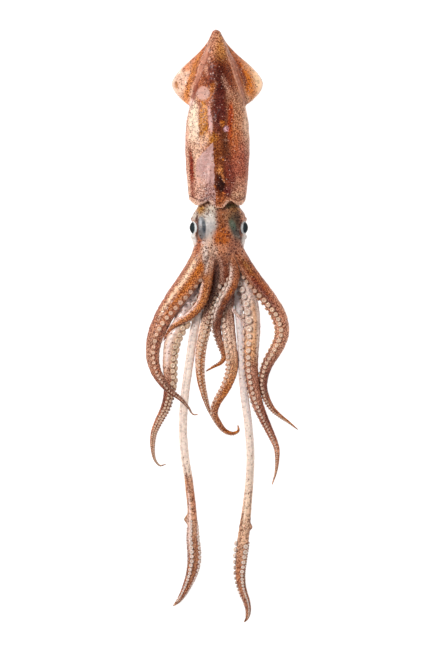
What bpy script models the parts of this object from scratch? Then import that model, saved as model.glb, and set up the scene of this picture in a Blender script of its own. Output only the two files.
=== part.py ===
"""A whole raw squid, lying belly down with its back up and its arms spread.

Run it with  blender --background --python part.py  or from Blender's text editor.

Four solids make the animal:
  mantle     the body tube with its two fins, and the mouth that the neck sits in
  head       the head with its funnel, eight arms, two tentacles and a strand of the web
  eye_left   an eyeball in its socket
  eye_right  the other one

The frame's origin is the middle of the flat belly, on the surface that the squid lies on.
+Y runs to the mantle's tip, +X to the squid's right as the back is looked at, and +Z up.
Sizes below are in millimetres, and the meshes are in metres.
"""

import math
from collections import namedtuple

import bmesh
import bpy
import numpy as np
from mathutils import Matrix, Vector

MM = 0.001

# Driving dimensions of the mantle.
MANTLE_LENGTH = 180.0
MANTLE_WIDTH = 64.0
MANTLE_HEIGHT = 36.0
TIP_Y = 121.0  # how far the mantle's tip lies from the origin
MARGIN_Y = TIP_Y - MANTLE_LENGTH  # the point of the free front edge, at the back's middle
TIP_LEAN = 1.3  # the tip is bent this much to the left
BELLY_SINK = 2.5  # how deep the round belly is pressed flat

# Half width as a share of half the mantle's width, against the share of its length from the tip.
MANTLE_TAPER = (
    (0.0, 0.0),
    (0.008, 0.09),
    (0.03, 0.165),
    (0.09, 0.31),
    (0.18, 0.46),
    (0.27, 0.58),
    (0.37, 0.76),
    (0.47, 0.92),
    (0.6, 1.0),
    (0.76, 0.985),
    (0.9, 0.915),
    (0.955, 0.88),
)
MANTLE_RINGS = 23
MANTLE_SIDES = 24

# The free front edge runs back from its blunt point over the neck, with a lobe at each shoulder
# and one at each side of the funnel. Turns are angles round the edge from the back's middle.
EDGE_RUN_BACK = 8.5
POINT_TURN = (0.12, 0.42)
SHOULDER_LOBE, SHOULDER_TURN, SHOULDER_SPREAD = 4.6, 0.86, 0.36
FUNNEL_LOBE, FUNNEL_TURN, FUNNEL_SPREAD = 3.0, 2.5, 0.3
RIM_THICKNESS = 3.0
SOCKET_DEPTH = 17.0

# Driving dimensions of the fins.
FIN_SPAN = 91.0
FIN_BASE_THICKNESS = 5.0
FIN_EDGE_THICKNESS = 1.3
FIN_EDGE_LIFT = 3.0  # the drooping edge's height over the table
FIN_SIDE = 0.46  # a fin's two ends run out on the mantle's side, at this share of its height
FIN_DROOP_RUN = 9.0  # how far a fin stands out of the mantle before its edge droops fully
FIN_THINNING = 0.07  # the share of the mantle's length over which a fin's two ends thin out
# Half span as a share of half the fins' span, against the share of the mantle's length from the tip.
FIN_OUTLINE = (
    (0.03, 0.115),
    (0.075, 0.21),
    (0.13, 0.405),
    (0.19, 0.675),
    (0.245, 0.885),
    (0.298, 1.0),
    (0.345, 0.95),
    (0.39, 0.8),
    (0.437, 0.6),
)
FIN_ROOT = (0.6, 0.68)  # where a fin starts inside the mantle, as shares of half width and height
FIN_STATIONS = 18
FIN_COLUMNS = 7

# Driving dimensions of the head: y, half width, height.
HEAD_X = 0.8  # the head sits a little to the right of the mantle's middle
HEAD_STATIONS = (
    (-43.5, 18.0, 25.0),
    (-52.0, 19.3, 27.2),
    (-58.0, 21.5, 29.3),
    (-64.0, 25.5, 32.0),
    (-71.0, 27.3, 33.5),
    (-79.0, 28.0, 34.0),
    (-88.0, 27.0, 33.0),
    (-97.0, 25.0, 31.0),
    (-105.0, 23.0, 28.0),
    (-113.0, 18.0, 22.5),
    (-120.0, 12.0, 16.0),
    (-126.0, 6.0, 10.0),
)
HEAD_RINGS = 14
HEAD_SIDES = 24
HEAD_SINK = 1.5

# The funnel lies under the head, with its narrow mouth towards the arms.
FUNNEL_Y = (-46.0, -84.0)
FUNNEL_HALF_WIDTHS = (13.0, 6.5)
FUNNEL_HEIGHTS = (11.0, 6.5)
FUNNEL_BACK_LIFT = 5.2  # its back end is up inside the mantle's mouth
FUNNEL_MOUTH_DEPTH = 6.0
FUNNEL_WALL = 1.6
HEAD_LIFT = 5.5  # how far the funnel lifts the neck's underside from the table
HEAD_SLOPE = (-78.0, -104.0)  # the underside comes down to the table from one y to the other

# Driving dimensions of the eyes.
EYE_RADIUS = 8.6
EYE_CENTRE = (20.1, -78.0, 18.5)  # out from the head's middle, along and up
EYE_GAP = 0.35
CORNEA_RADIUS = 6.4
CORNEA_RISE = 0.7
EYE_LOOK = math.radians(28.0)  # how far the eyes look up from straight sideways

# Driving dimensions of the limbs.
ROUNDNESS = 0.8  # a limb's thickness as a share of its width
ARM_RINGS = 30
TENTACLE_RINGS = 42
STRAND_RINGS = 8
LIMB_SIDES = 8
TIP_WIDTH = 1.0
CROWDING = 0.45  # how much closer a limb's rings lie at its tip than at its root
CLUB_WIDTH = 12.6
CLUB_MIDDLE = 0.84  # where a tentacle's club is widest, as a share of its length
CLUB_SPREAD = 0.09

# A limb's route holds (x, y, lift): the points that its middle passes over, and how far its
# underside is off the table there. It is as wide as width at its root, and tapers to its tip as
# (1 - share ** fullness) ** sharpness does.
Limb = namedtuple("Limb", "name width fullness sharpness route")

ARMS = (
    Limb("arm_left_1", 10.2, 4.5, 1.3, (
        (-2, -98, 17), (-2.5, -112, 11), (-3.5, -127, 6), (-6, -143, 3), (-9.5, -159, 1),
        (-13.5, -178, 0), (-16.3, -198, 0), (-17.6, -217, 0), (-16.6, -231, 0),
        (-13.3, -246, 0), (-9, -260, 0), (-4.8, -269.8, 0),
    )),
    Limb("arm_left_2", 11.8, 2.8, 0.95, (
        (-9, -93, 12), (-10.8, -107, 15), (-12.6, -123, 14.5), (-14.6, -140, 12.5),
        (-18.5, -153.5, 12), (-28, -165, 11.5), (-38, -171.5, 10.5), (-46, -178, 8.5),
        (-51, -188.5, 5.5),
    )),
    Limb("arm_left_3", 18.6, 2.9, 1.5, (
        (-11, -93, 11), (-17.5, -110, 9), (-29, -130, 6), (-43.5, -149, 2.5),
        (-56, -168, 0), (-64, -189, 0), (-65.4, -206, 0), (-61.5, -222.5, 2), (-50, -239, 7.5),
        (-38, -248.5, 8), (-29.3, -257, 6.5), (-24.5, -263.6, 2.5), (-20.5, -263.8, 1),
    )),
    Limb("arm_left_4", 15.4, 3.2, 1.35, (
        (-7, -100, 2), (-13, -116, 1.5), (-27, -147, 0), (-40.5, -174, 0), (-47.3, -195, 0),
        (-48.4, -215, 0), (-48, -235, 0), (-52, -256, 0), (-59, -270, 0), (-64.4, -283, 0),
        (-65.5, -299, 0), (-63, -310.5, 0), (-58, -315.8, 0), (-52.5, -314.3, 0),
    )),
    Limb("arm_right_1", 11.6, 2.2, 0.95, (
        (5, -98, 17), (7.5, -112, 11), (8, -126, 6), (8.5, -142, 2.5), (10.5, -157, 0.5),
        (12.3, -170, 0), (13.6, -190, 0), (14.4, -210, 0), (13.3, -223, 0), (6.5, -239.5, 0),
        (-1.5, -253, 0), (-2.6, -263, 0), (1.5, -273.5, 0), (7.5, -280, 0), (14.5, -282.4, 0),
        (20.3, -280, 0), (20, -275.3, 0),
    )),
    Limb("arm_right_2", 11.6, 2.3, 1.05, (
        (10, -93, 12), (13.8, -107, 15), (16.2, -123, 15), (13.5, -136, 14.5),
        (5.5, -150, 13.5), (0, -163, 11), (-1.4, -175, 7.5), (0, -186, 4), (4, -198.5, 1),
        (6.5, -206, 0), (4.5, -211.5, 0), (-4, -216.8, 0), (-12, -221.3, 0),
    )),
    Limb("arm_right_3", 16.8, 2.5, 1.5, (
        (13.5, -93, 11), (21.5, -109, 9.5), (34.5, -129, 7), (50.5, -149.5, 3.5),
        (60.5, -165.5, 0.5), (64.3, -182, 0), (60.3, -195.5, 0), (49.5, -214.5, 0),
        (45.5, -228, 0), (45.2, -238, 0), (52.5, -257, 0), (60.5, -264.8, 0), (70, -271.8, 0),
        (79.6, -279.6, 0),
    )),
    Limb("arm_right_4", 16.5, 2.7, 1.2, (
        (8, -100, 2), (18, -116, 1.5), (26.5, -133, 0.5), (31.5, -150, 0), (34.2, -168, 0),
        (34.2, -187, 0), (33.3, -203, 0), (33.3, -219, 0), (35.5, -236, 0), (39.8, -254, 0),
        (46.5, -270, 0), (53.5, -285, 0), (58.7, -298, 0), (59.3, -310, 0), (57.8, -323, 0),
        (54.2, -334.6, 0),
    )),
)

TENTACLES = (
    Limb("tentacle_left", 8.2, 9.0, 1.0, (
        (-4, -102, 7), (-9.5, -122, 3.5), (-14.5, -140, 1), (-19, -160, 0), (-23.7, -180, 0),
        (-28.5, -210, 0), (-32.9, -240, 0), (-34.7, -270, 0), (-33.4, -300, 0),
        (-28.9, -330, 0), (-26.1, -360, 0), (-24.9, -390, 0), (-23.7, -408, 0), (-25, -421, 0),
        (-32, -440, 0), (-38.5, -450.5, 0), (-44.5, -456.3, 0),
    )),
    Limb("tentacle_right", 7.6, 9.0, 1.0, (
        (8, -102, 7), (15.5, -122, 3.5), (19.8, -140, 1), (21.8, -158, 0), (22.7, -180, 0),
        (23.2, -208, 0), (25.8, -240, 0), (30.3, -275, 0), (32.4, -305, 0), (31.3, -330, 0),
        (28.2, -362, 0), (25.3, -390, 0), (22.2, -415, 0), (21.9, -428, 0), (24.6, -441, 0),
        (28.6, -452, 0), (30.2, -461.5, 0), (29, -468.5, 0), (26.2, -472.4, 0),
    )),
)

# A loose strand of the web between two arms of the right side, which joins them.
WEB_STRAND = Limb("web_strand", 4.6, 20.0, 0.3, ((9, -153, 3.5), (18.5, -164, 6.5), (31, -175.5, 5)))

MATERIALS = {
    "skin": ((0.62, 0.36, 0.24, 1.0), 0.35),
    "arm_skin": ((0.64, 0.4, 0.28, 1.0), 0.35),
    "eye": ((0.2, 0.22, 0.23, 1.0), 0.12),
}


def clear_scene():
    for old in list(bpy.data.objects):
        bpy.data.objects.remove(old, do_unlink=True)


def material(name):
    """The named Principled material, made once."""
    made = bpy.data.materials.get(name)
    if made:
        return made
    colour, roughness = MATERIALS[name]
    made = bpy.data.materials.new(name)
    made.use_nodes = True
    shader = made.node_tree.nodes["Principled BSDF"]
    shader.inputs["Base Color"].default_value = colour
    shader.inputs["Roughness"].default_value = roughness
    shader.inputs["Metallic"].default_value = 0.0
    made.diffuse_color = colour
    return made


def smooth_step(t):
    t = min(1.0, max(0.0, t))
    return t * t * (3.0 - 2.0 * t)


def hermite(at, values, slopes, x):
    """The smooth cubic through values at the knots, read at x. Values may be rows of numbers."""
    k = np.clip(np.searchsorted(at, x, side="right") - 1, 0, len(at) - 2)
    span = at[k + 1] - at[k]
    t = np.clip((x - at[k]) / span, 0.0, 1.0)
    if values.ndim > 1:
        span, t = span[..., None], t[..., None]
    return (
        (2 * t**3 - 3 * t**2 + 1) * values[k]
        + (t**3 - 2 * t**2 + t) * span * slopes[k]
        + (3 * t**2 - 2 * t**3) * values[k + 1]
        + (t**3 - t**2) * span * slopes[k + 1]
    )


def read_off(table, x):
    """The smooth value at x of a table of (x, value) rows."""
    at, values = np.array(table, float).T
    return float(hermite(at, values, np.gradient(values, at), np.float64(x)))


def smooth_line(points, shares):
    """Places at shares of the length of a smooth curve through points of any dimension."""
    knots = np.array(points, float)
    steps = np.linalg.norm(np.diff(knots, axis=0), axis=1)
    at = np.concatenate([[0.0], np.cumsum(np.sqrt(steps))])
    fine = np.linspace(0.0, at[-1], 24 * len(knots))
    curve = hermite(at, knots, np.gradient(knots, at, axis=0), fine)
    run = np.concatenate([[0.0], np.cumsum(np.linalg.norm(np.diff(curve, axis=0), axis=1))])
    return np.stack([np.interp(np.array(shares) * run[-1], run, c) for c in curve.T], axis=1)


def finish_object(name, mesh, slot, hidden=False):
    """The named object made from a bmesh. A hidden one only cuts or joins another."""
    bmesh.ops.recalc_face_normals(mesh, faces=mesh.faces)
    bmesh.ops.triangulate(mesh, faces=mesh.faces)
    data = bpy.data.meshes.new(name)
    mesh.to_mesh(data)
    mesh.free()
    data.materials.append(material(slot))
    data.shade_smooth()
    made = bpy.data.objects.new(name, data)
    bpy.context.scene.collection.objects.link(made)
    if hidden:
        made.hide_render = True
        made.display_type = "WIRE"
    return made


def loft(name, rings, slot, first_pole, last_pole, hidden=False):
    """A closed object through rings of points, with a pole at each end. All in millimetres."""
    mesh = bmesh.new()
    loops = [[mesh.verts.new(Vector(point) * MM) for point in ring] for ring in rings]
    for one, other in zip(loops, loops[1:]):
        for j in range(len(one)):
            k = (j + 1) % len(one)
            mesh.faces.new((one[j], one[k], other[k], other[j]))
    for loop, pole in ((loops[0], first_pole), (loops[-1], last_pole)):
        centre = mesh.verts.new(Vector(pole) * MM)
        for j in range(len(loop)):
            mesh.faces.new((loop[j], loop[(j + 1) % len(loop)], centre))
    return finish_object(name, mesh, slot, hidden)


def combine(target, other, operation):
    modifier = target.modifiers.new(other.name, "BOOLEAN")
    modifier.operation = operation
    modifier.solver = "EXACT"
    modifier.object = other


def oval_ring(centre_x, y_at, half_width, height, sides, sink, base=0.0):
    """An upright oval ring across Y, standing on base, its underside pressed flat by sink."""
    ring = []
    for j in range(sides):
        angle = 2 * math.pi * j / sides
        z = base - sink + height / 2 * (1.0 + math.cos(angle))
        ring.append((centre_x + half_width * math.sin(angle), y_at(angle), max(z, base)))
    return ring


def mantle_half_width(share):
    return read_off(MANTLE_TAPER, share) * MANTLE_WIDTH / 2


def mantle_height(share):
    """The mantle is rounder towards its tip, and flatter where it is wide."""
    half = mantle_half_width(share)
    slack = 1.0 - MANTLE_HEIGHT / MANTLE_WIDTH
    return 2 * half * (1.0 - slack * 2 * half / MANTLE_WIDTH)


def lean(share):
    """How far the bent tip carries the mantle's middle to the left."""
    return -TIP_LEAN * max(0.0, 1.0 - share / 0.35) ** 2


def margin_y(angle):
    """The front edge of the mantle. The angle is 0 at the back's middle and pi at the belly's."""
    turn = abs(math.remainder(angle, 2 * math.pi))
    blunt, foot = POINT_TURN
    point = min(1.0, max(0.0, (foot - turn) / (foot - blunt)))
    shoulder = math.exp(-(((turn - SHOULDER_TURN) / SHOULDER_SPREAD) ** 2))
    funnel = math.exp(-(((turn - FUNNEL_TURN) / FUNNEL_SPREAD) ** 2))
    run_back = EDGE_RUN_BACK - SHOULDER_LOBE * shoulder - FUNNEL_LOBE * funnel
    return MARGIN_Y + run_back * (1.0 - point)


def build_mantle():
    """The body tube: from its tip down to the free edge, and back up inside its mouth."""
    rings = []
    first, last = MANTLE_TAPER[1][0], MANTLE_TAPER[-1][0]
    last_y = TIP_Y - last * MANTLE_LENGTH
    for i in range(MANTLE_RINGS):
        share = first + (last - first) * (i / (MANTLE_RINGS - 1)) ** 1.15
        half = mantle_half_width(share)
        sink = BELLY_SINK * min(1.0, 2 * half / MANTLE_WIDTH + 0.1)
        straight = TIP_Y - share * MANTLE_LENGTH
        edge = max(0.0, (share - 0.84) / (last - 0.84)) ** 1.5

        def y_at(angle, straight=straight, edge=edge):
            return straight + (margin_y(angle) - last_y) * edge

        rings.append(oval_ring(lean(share), y_at, half, mantle_height(share), MANTLE_SIDES, sink))
    edge_ring = rings[-1]
    mouth_half = mantle_half_width(last) - RIM_THICKNESS
    mouth_height = mantle_height(last) - BELLY_SINK - 2 * RIM_THICKNESS
    floor_y = MARGIN_Y + SOCKET_DEPTH
    for depth, taper in ((0.0, 1.0), (0.3, 0.985), (1.0, 0.94)):
        ring = oval_ring(
            0.0, lambda angle: 0.0, mouth_half * taper, mouth_height * taper,
            MANTLE_SIDES, 0.0, RIM_THICKNESS + mouth_height * (1.0 - taper) / 2,
        )
        rings.append([
            (x, edge_y + (floor_y - edge_y) * depth, z)
            for (x, _, z), (_, edge_y, _) in zip(ring, edge_ring)
        ])
    tip = (lean(0.0), TIP_Y, mantle_height(first) / 2)
    floor = (0.0, floor_y, RIM_THICKNESS + mouth_height / 2)
    mantle = loft("mantle", rings, "skin", tip, floor)
    for side, word in ((-1, "left"), (1, "right")):
        combine(mantle, build_fin(side, "fin_" + word), "UNION")
    return mantle


def fin_section(share):
    """The middle line of a fin across the mantle: (x, z) from inside the mantle to its edge."""
    half = mantle_half_width(share)
    out = read_off(FIN_OUTLINE, share) * FIN_SPAN / 2
    side_z = FIN_SIDE * mantle_height(share)
    settled = smooth_step((out - half) / FIN_DROOP_RUN)
    root_x = FIN_ROOT[0] * half
    root_z = side_z + (FIN_ROOT[1] * mantle_height(share) - side_z) * settled
    edge_z = side_z + (min(FIN_EDGE_LIFT, side_z) - side_z) * settled
    line = []
    for j in range(FIN_COLUMNS):
        t = j / (FIN_COLUMNS - 1)
        droop = 0.5 - 0.5 * math.cos(math.pi * t)
        line.append((root_x + (out - root_x) * t, root_z + (edge_z - root_z) * droop))
    return line


def build_fin(side, name):
    """One fin: a flap that is thick at its root and thin at its edge, as a closed sheet."""
    first, last = FIN_OUTLINE[0][0], FIN_OUTLINE[-1][0]
    mesh = bmesh.new()
    rows = []
    for i in range(FIN_STATIONS):
        share = first + (last - first) * i / (FIN_STATIONS - 1)
        y = TIP_Y - share * MANTLE_LENGTH
        ends = smooth_step(min(share - first, last - share) / FIN_THINNING)
        row = []
        for j, (x, z) in enumerate(fin_section(share)):
            t = j / (FIN_COLUMNS - 1)
            swell = (FIN_BASE_THICKNESS - FIN_EDGE_THICKNESS) * (1.0 - t**0.8) * ends
            thick = min(FIN_EDGE_THICKNESS + swell, mantle_half_width(share) * 0.35)
            row.append([
                mesh.verts.new(Vector((lean(share) + side * x, y, z + way * thick / 2)) * MM)
                for way in (1, -1)
            ])
        rows.append(row)
    for one, other in zip(rows, rows[1:]):
        for j in range(FIN_COLUMNS - 1):
            mesh.faces.new((one[j][0], one[j + 1][0], other[j + 1][0], other[j][0]))
            mesh.faces.new((one[j][1], other[j][1], other[j + 1][1], one[j + 1][1]))
        for j in (0, -1):
            mesh.faces.new((one[j][0], other[j][0], other[j][1], one[j][1]))
    for row in (rows[0], rows[-1]):
        for one, other in zip(row, row[1:]):
            mesh.faces.new((one[0], other[0], other[1], one[1]))
    return finish_object(name, mesh, "skin", hidden=True)


def limb_width(limb, share):
    """An arm tapers smoothly. A tentacle is an even stalk that widens to its club."""
    if limb not in TENTACLES:
        taper = (1.0 - share**limb.fullness) ** limb.sharpness
        return TIP_WIDTH + (limb.width - TIP_WIDTH) * taper
    club = math.exp(-(((share - CLUB_MIDDLE) / CLUB_SPREAD) ** 2))
    past = max(0.0, (share - CLUB_MIDDLE) / (1.0 - CLUB_MIDDLE))
    width = (limb.width + (CLUB_WIDTH - limb.width) * club) * (1.0 - past**2) ** 0.5
    return max(width, TIP_WIDTH)


def build_limb(limb, count):
    """A tapering limb along its route, its underside kept above the table."""
    evenly = np.linspace(0.0, 1.0, count)
    shares = evenly * (1.0 + CROWDING - CROWDING * evenly)
    line = smooth_line(limb.route, shares)
    widths = [limb_width(limb, share) for share in shares]
    middles = [
        Vector((x, y, lift + ROUNDNESS * width / 2)) for (x, y, lift), width in zip(line, widths)
    ]
    rings = []
    for i, (middle, width) in enumerate(zip(middles, widths)):
        along = (middles[min(i + 1, count - 1)] - middles[max(i - 1, 0)]).normalized()
        across = along.cross(Vector((0.0, 0.0, 1.0))).normalized()
        up = across.cross(along)
        ring = []
        for j in range(LIMB_SIDES):
            angle = 2 * math.pi * j / LIMB_SIDES
            point = middle + across * (width / 2 * math.sin(angle))
            point += up * (ROUNDNESS * width / 2 * math.cos(angle))
            ring.append((point.x, point.y, max(point.z, 0.0)))
        rings.append(ring)
    return loft(limb.name, rings, "arm_skin", middles[0], middles[-1], hidden=True)


def build_funnel():
    """A flat cone with a slit of a mouth."""
    steps = 5
    rings = []
    for i in range(steps + 1):
        t = i / steps
        y = FUNNEL_Y[0] + (FUNNEL_Y[1] - FUNNEL_Y[0]) * t
        half = FUNNEL_HALF_WIDTHS[0] + (FUNNEL_HALF_WIDTHS[1] - FUNNEL_HALF_WIDTHS[0]) * t
        height = FUNNEL_HEIGHTS[0] + (FUNNEL_HEIGHTS[1] - FUNNEL_HEIGHTS[0]) * t
        base = FUNNEL_BACK_LIFT * (1.0 - t) ** 2
        rings.append(oval_ring(HEAD_X, lambda angle, y=y: y, half, height, 14, 0.6, base))
    lip = np.array(rings[-1])
    centre = lip.mean(axis=0)
    for depth, wall in ((0.0, FUNNEL_WALL), (FUNNEL_MOUTH_DEPTH, FUNNEL_WALL * 1.2)):
        shrink = np.array([
            1.0 - wall / FUNNEL_HALF_WIDTHS[1], 1.0, 1.0 - 2 * wall / FUNNEL_HEIGHTS[1]
        ])
        inner = centre + (lip - centre) * shrink
        inner[:, 1] = FUNNEL_Y[1] + depth
        rings.append([tuple(point) for point in inner])
    start = (HEAD_X, FUNNEL_Y[0], FUNNEL_HEIGHTS[0] / 2 + FUNNEL_BACK_LIFT)
    floor = (HEAD_X, FUNNEL_Y[1] + FUNNEL_MOUTH_DEPTH, centre[2])
    return loft("funnel", rings, "arm_skin", start, floor, hidden=True)


def head_base(y):
    """How far the head's underside is off the table: the funnel holds up its neck."""
    start, end = HEAD_SLOPE
    return HEAD_LIFT * smooth_step((y - end) / (start - end))


def build_head():
    """The head, with the funnel, the limbs and the strand joined on and the sockets cut out."""
    rings = []
    for y, half, height in smooth_line(HEAD_STATIONS, np.linspace(0.0, 1.0, HEAD_RINGS)):
        base = head_base(y)
        rings.append(oval_ring(
            HEAD_X, lambda angle, y=y: y, half, height - base, HEAD_SIDES, HEAD_SINK, base,
        ))
    back = (HEAD_X, HEAD_STATIONS[0][0] + 0.5, HEAD_STATIONS[0][2] / 2)
    front = (HEAD_X, HEAD_STATIONS[-1][0] - 1.5, HEAD_STATIONS[-1][2] / 2)
    head = loft("head", rings, "arm_skin", back, front)
    combine(head, build_funnel(), "UNION")
    for limb in ARMS:
        combine(head, build_limb(limb, ARM_RINGS), "UNION")
    for limb in TENTACLES:
        combine(head, build_limb(limb, TENTACLE_RINGS), "UNION")
    combine(head, build_limb(WEB_STRAND, STRAND_RINGS), "UNION")
    for side, word in ((-1, "left"), (1, "right")):
        combine(head, build_eye("socket_" + word, side, EYE_GAP, hidden=True), "DIFFERENCE")
    return head


def build_eye(name, side, grow=0.0, hidden=False):
    """An eyeball whose clear front bulges where it looks out, or its socket grown by a gap."""
    sides, steps = 14, 8
    look = Matrix.Rotation(side * (math.pi / 2 - EYE_LOOK), 3, "Y")
    centre = Vector((HEAD_X + side * EYE_CENTRE[0], EYE_CENTRE[1], EYE_CENTRE[2]))
    rings = []
    for i in range(1, steps):
        tilt = math.pi * i / steps
        off_axis = EYE_RADIUS * math.sin(tilt)
        bulge = CORNEA_RISE * max(0.0, 1.0 - (off_axis / CORNEA_RADIUS) ** 2)
        radius = EYE_RADIUS + grow + (bulge if tilt < math.pi / 2 else 0.0)
        ring = []
        for j in range(sides):
            turn = 2 * math.pi * j / sides
            ring.append(centre + look @ Vector((
                radius * math.sin(tilt) * math.cos(turn),
                radius * math.sin(tilt) * math.sin(turn),
                radius * math.cos(tilt),
            )))
        rings.append(ring)
    front = centre + look @ Vector((0.0, 0.0, EYE_RADIUS + grow + CORNEA_RISE))
    rear = centre - look @ Vector((0.0, 0.0, EYE_RADIUS + grow))
    return loft(name, rings, "eye", front, rear, hidden)


def main():
    clear_scene()
    build_mantle()
    build_head()
    build_eye("eye_left", -1)
    build_eye("eye_right", 1)


main()
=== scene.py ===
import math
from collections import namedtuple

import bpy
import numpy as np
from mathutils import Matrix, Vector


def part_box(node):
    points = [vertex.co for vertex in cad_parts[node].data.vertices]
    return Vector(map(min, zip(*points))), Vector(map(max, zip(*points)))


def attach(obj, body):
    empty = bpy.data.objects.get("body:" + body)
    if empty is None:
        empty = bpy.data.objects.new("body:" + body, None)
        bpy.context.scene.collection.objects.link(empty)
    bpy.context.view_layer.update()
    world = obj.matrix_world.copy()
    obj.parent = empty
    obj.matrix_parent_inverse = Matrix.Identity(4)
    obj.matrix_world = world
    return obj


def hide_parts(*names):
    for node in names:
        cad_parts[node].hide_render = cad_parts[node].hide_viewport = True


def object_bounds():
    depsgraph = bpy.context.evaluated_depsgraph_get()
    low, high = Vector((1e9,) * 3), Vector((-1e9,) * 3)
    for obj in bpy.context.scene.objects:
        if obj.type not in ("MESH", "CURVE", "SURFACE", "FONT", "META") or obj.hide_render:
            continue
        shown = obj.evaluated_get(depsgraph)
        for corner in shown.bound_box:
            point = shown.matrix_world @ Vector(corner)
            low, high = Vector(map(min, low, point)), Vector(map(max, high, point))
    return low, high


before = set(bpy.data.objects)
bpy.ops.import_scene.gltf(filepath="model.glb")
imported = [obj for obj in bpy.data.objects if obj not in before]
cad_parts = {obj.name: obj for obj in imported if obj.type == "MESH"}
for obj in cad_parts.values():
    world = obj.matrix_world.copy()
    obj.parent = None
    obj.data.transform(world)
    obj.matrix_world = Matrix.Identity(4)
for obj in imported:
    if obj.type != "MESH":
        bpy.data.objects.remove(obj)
cad_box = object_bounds()

# The looks of a whole raw squid, lying belly down with its back up and its arms spread.
#
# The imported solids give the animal's size and place. Its skin is modelled again over them at full
# detail: the mantle with its fins, the crown of head and arm roots, the eight arms, the two
# tentacles, the suckers, the web strand and the eyes. All sizes are in millimetres until a mesh
# is made. +Y runs to the mantle's tip, +X to the right as the back is looked at, and +Z up.

MM = 0.001

# ---------------------------------------------------------------- sizes of the mantle

mantle_low, mantle_high = (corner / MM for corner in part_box("mantle"))
TIP_Y = mantle_high.y
MARGIN_Y = mantle_low.y
MANTLE_LENGTH = TIP_Y - MARGIN_Y
FIN_SPAN = 91.0
MANTLE_WIDTH = 64.0
BELLY_SINK = 2.5
MANTLE_HEIGHT = mantle_high.z + BELLY_SINK
TIP_LEAN = 1.3
MANTLE_X = -0.6
MANTLE_TAPER = (
    (0.0, 0.0), (0.008, 0.09), (0.03, 0.165), (0.09, 0.31), (0.18, 0.46), (0.27, 0.58),
    (0.37, 0.76), (0.47, 0.92), (0.6, 1.0), (0.76, 0.985), (0.9, 0.915), (0.955, 0.88),
)
EDGE_RUN_BACK = 8.5
POINT_TURN = (0.12, 0.42)
POINT_ASIDE = 0.068
SHOULDER_LOBE, SHOULDER_TURN, SHOULDER_SPREAD = 5.6, 0.9, 0.38
FUNNEL_LOBE, FUNNEL_TURN, FUNNEL_SPREAD = 3.0, 2.5, 0.3
EDGE_START = 0.84  # the share from which the tube bends to its scalloped edge
RIM_THICKNESS = 3.0
SOCKET_DEPTH = 17.0
MOUTH_RINGS = ((0.0, 1.0), (0.3, 0.985), (1.0, 0.94))  # shares of the socket's depth and width
# Soft unevenness of a skin: (height, size across, how much each axis is squeezed, seed)
MANTLE_RIPPLES = ((0.22, 9.0, (1.6, 0.5, 1.0), 3), (0.1, 3.4, 1.0, 4))

FIN_BASE_THICKNESS = 5.0
FIN_EDGE_THICKNESS = 1.5
FIN_EDGE_LIFT = 3.0
FIN_SIDE = 0.46
FIN_DROOP_RUN = 9.0
FIN_THINNING = 0.07
FIN_ROOT = (0.6, 0.68)
FIN_FOLDS = ((-1.3, 0.5, 0.09), (0.9, 0.72, 0.14))  # height, share across the fin, spread
FIN_WAVE, FIN_WAVES = 0.5, 95.0  # the height and number of the waves along the edge
FIN_OUTLINE = (
    (0.03, 0.115), (0.075, 0.21), (0.13, 0.405), (0.19, 0.675), (0.245, 0.885), (0.298, 1.0),
    (0.345, 0.95), (0.39, 0.8), (0.437, 0.6),
)

# ---------------------------------------------------------------- sizes of the head and eyes

HEAD_X = 0.8
HEAD_STATIONS = (  # y, half width, height
    (-43.5, 18.0, 25.0), (-52.0, 19.3, 27.2), (-58.0, 21.5, 29.3), (-64.0, 25.5, 32.0),
    (-71.0, 27.3, 33.5), (-79.0, 28.0, 34.0), (-88.0, 27.0, 33.0), (-97.0, 25.0, 31.0),
    (-105.0, 23.0, 28.0), (-113.0, 18.0, 22.5), (-120.0, 12.0, 16.0), (-126.0, 6.0, 10.0),
)
HEAD_SINK = 1.5
HEAD_LIFT = 5.5  # how far the head is off the table
HEAD_SLOPE = (-78.0, -104.0)  # where it comes down to its limbs
FUNNEL_START, FUNNEL_END = (-46.0, 13.0, 11.0), (-84.0, 6.5, 6.5)  # y, half width, height
FUNNEL_SINK = 0.6
FUNNEL_BACK_LIFT = 5.2
FUNNEL_MOUTH_DEPTH = 7.0
FUNNEL_WALL = 1.7

EYE_RADIUS = 8.6
EYE_CENTRE = (20.1, -78.0, 18.5)
EYE_LOOK = math.radians(28.0)
PUPIL_TURN = (-0.01, -0.08)  # how far the pupil looks back towards the mantle, and up
CORNEA_RADIUS = 6.4
CORNEA_RISE = 0.7
LID_LOOK = math.radians(14.0)  # the opening of the lids looks lower than the eye
LID_REACH = 7.3  # how far from its axis an eye is open
LID_RISE, LID_SPREAD = 1.5, 1.5
LID_EDGE = 1.1  # how wide the step is from the sunk skin up to the lid
EYE_GAP, EYE_SINK = 0.35, 1.6  # how far the skin stays off the eye, and sinks in behind it

CROWN_RIPPLES = ((0.16, 6.0, (1.5, 0.7, 1.0), 21), (0.09, 2.4, 1.0, 22))
ROOTS_Y = -99.0  # where the head begins to part into its limbs
MELT_Y, MELT_SPREAD = -112.0, 16.0  # where the roots of the limbs are melted together most
GROOVE_END_Y = -142.0
GROOVE_DEPTH, GROOVE_SPREAD = 1.1, 0.13

# ---------------------------------------------------------------- the limbs

ROUNDNESS = 0.8
TIP_WIDTH = 1.0
# A limb's section, in shares of its radius: its face with the suckers is flat, with a lobed border
# on both sides, and its back has a low keel. Turns are in radians from the middle of the face.
FACE_HOLLOW, FACE_SPREAD = 0.09, 0.7
BORDER_TURN, BORDER_SPREAD = 1.12, 0.2
BORDER_RISE, LOBE_RISE = 0.035, 0.055
KEEL_RISE, KEEL_SPREAD = 0.03, 0.3
CLUB_SPREAD = 0.12
LIMB_RIPPLES = ((0.016, 5.0, 1.0, 11), (0.009, 2.2, 1.0, 12))
CLUB_MIDDLE = 0.84
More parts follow.
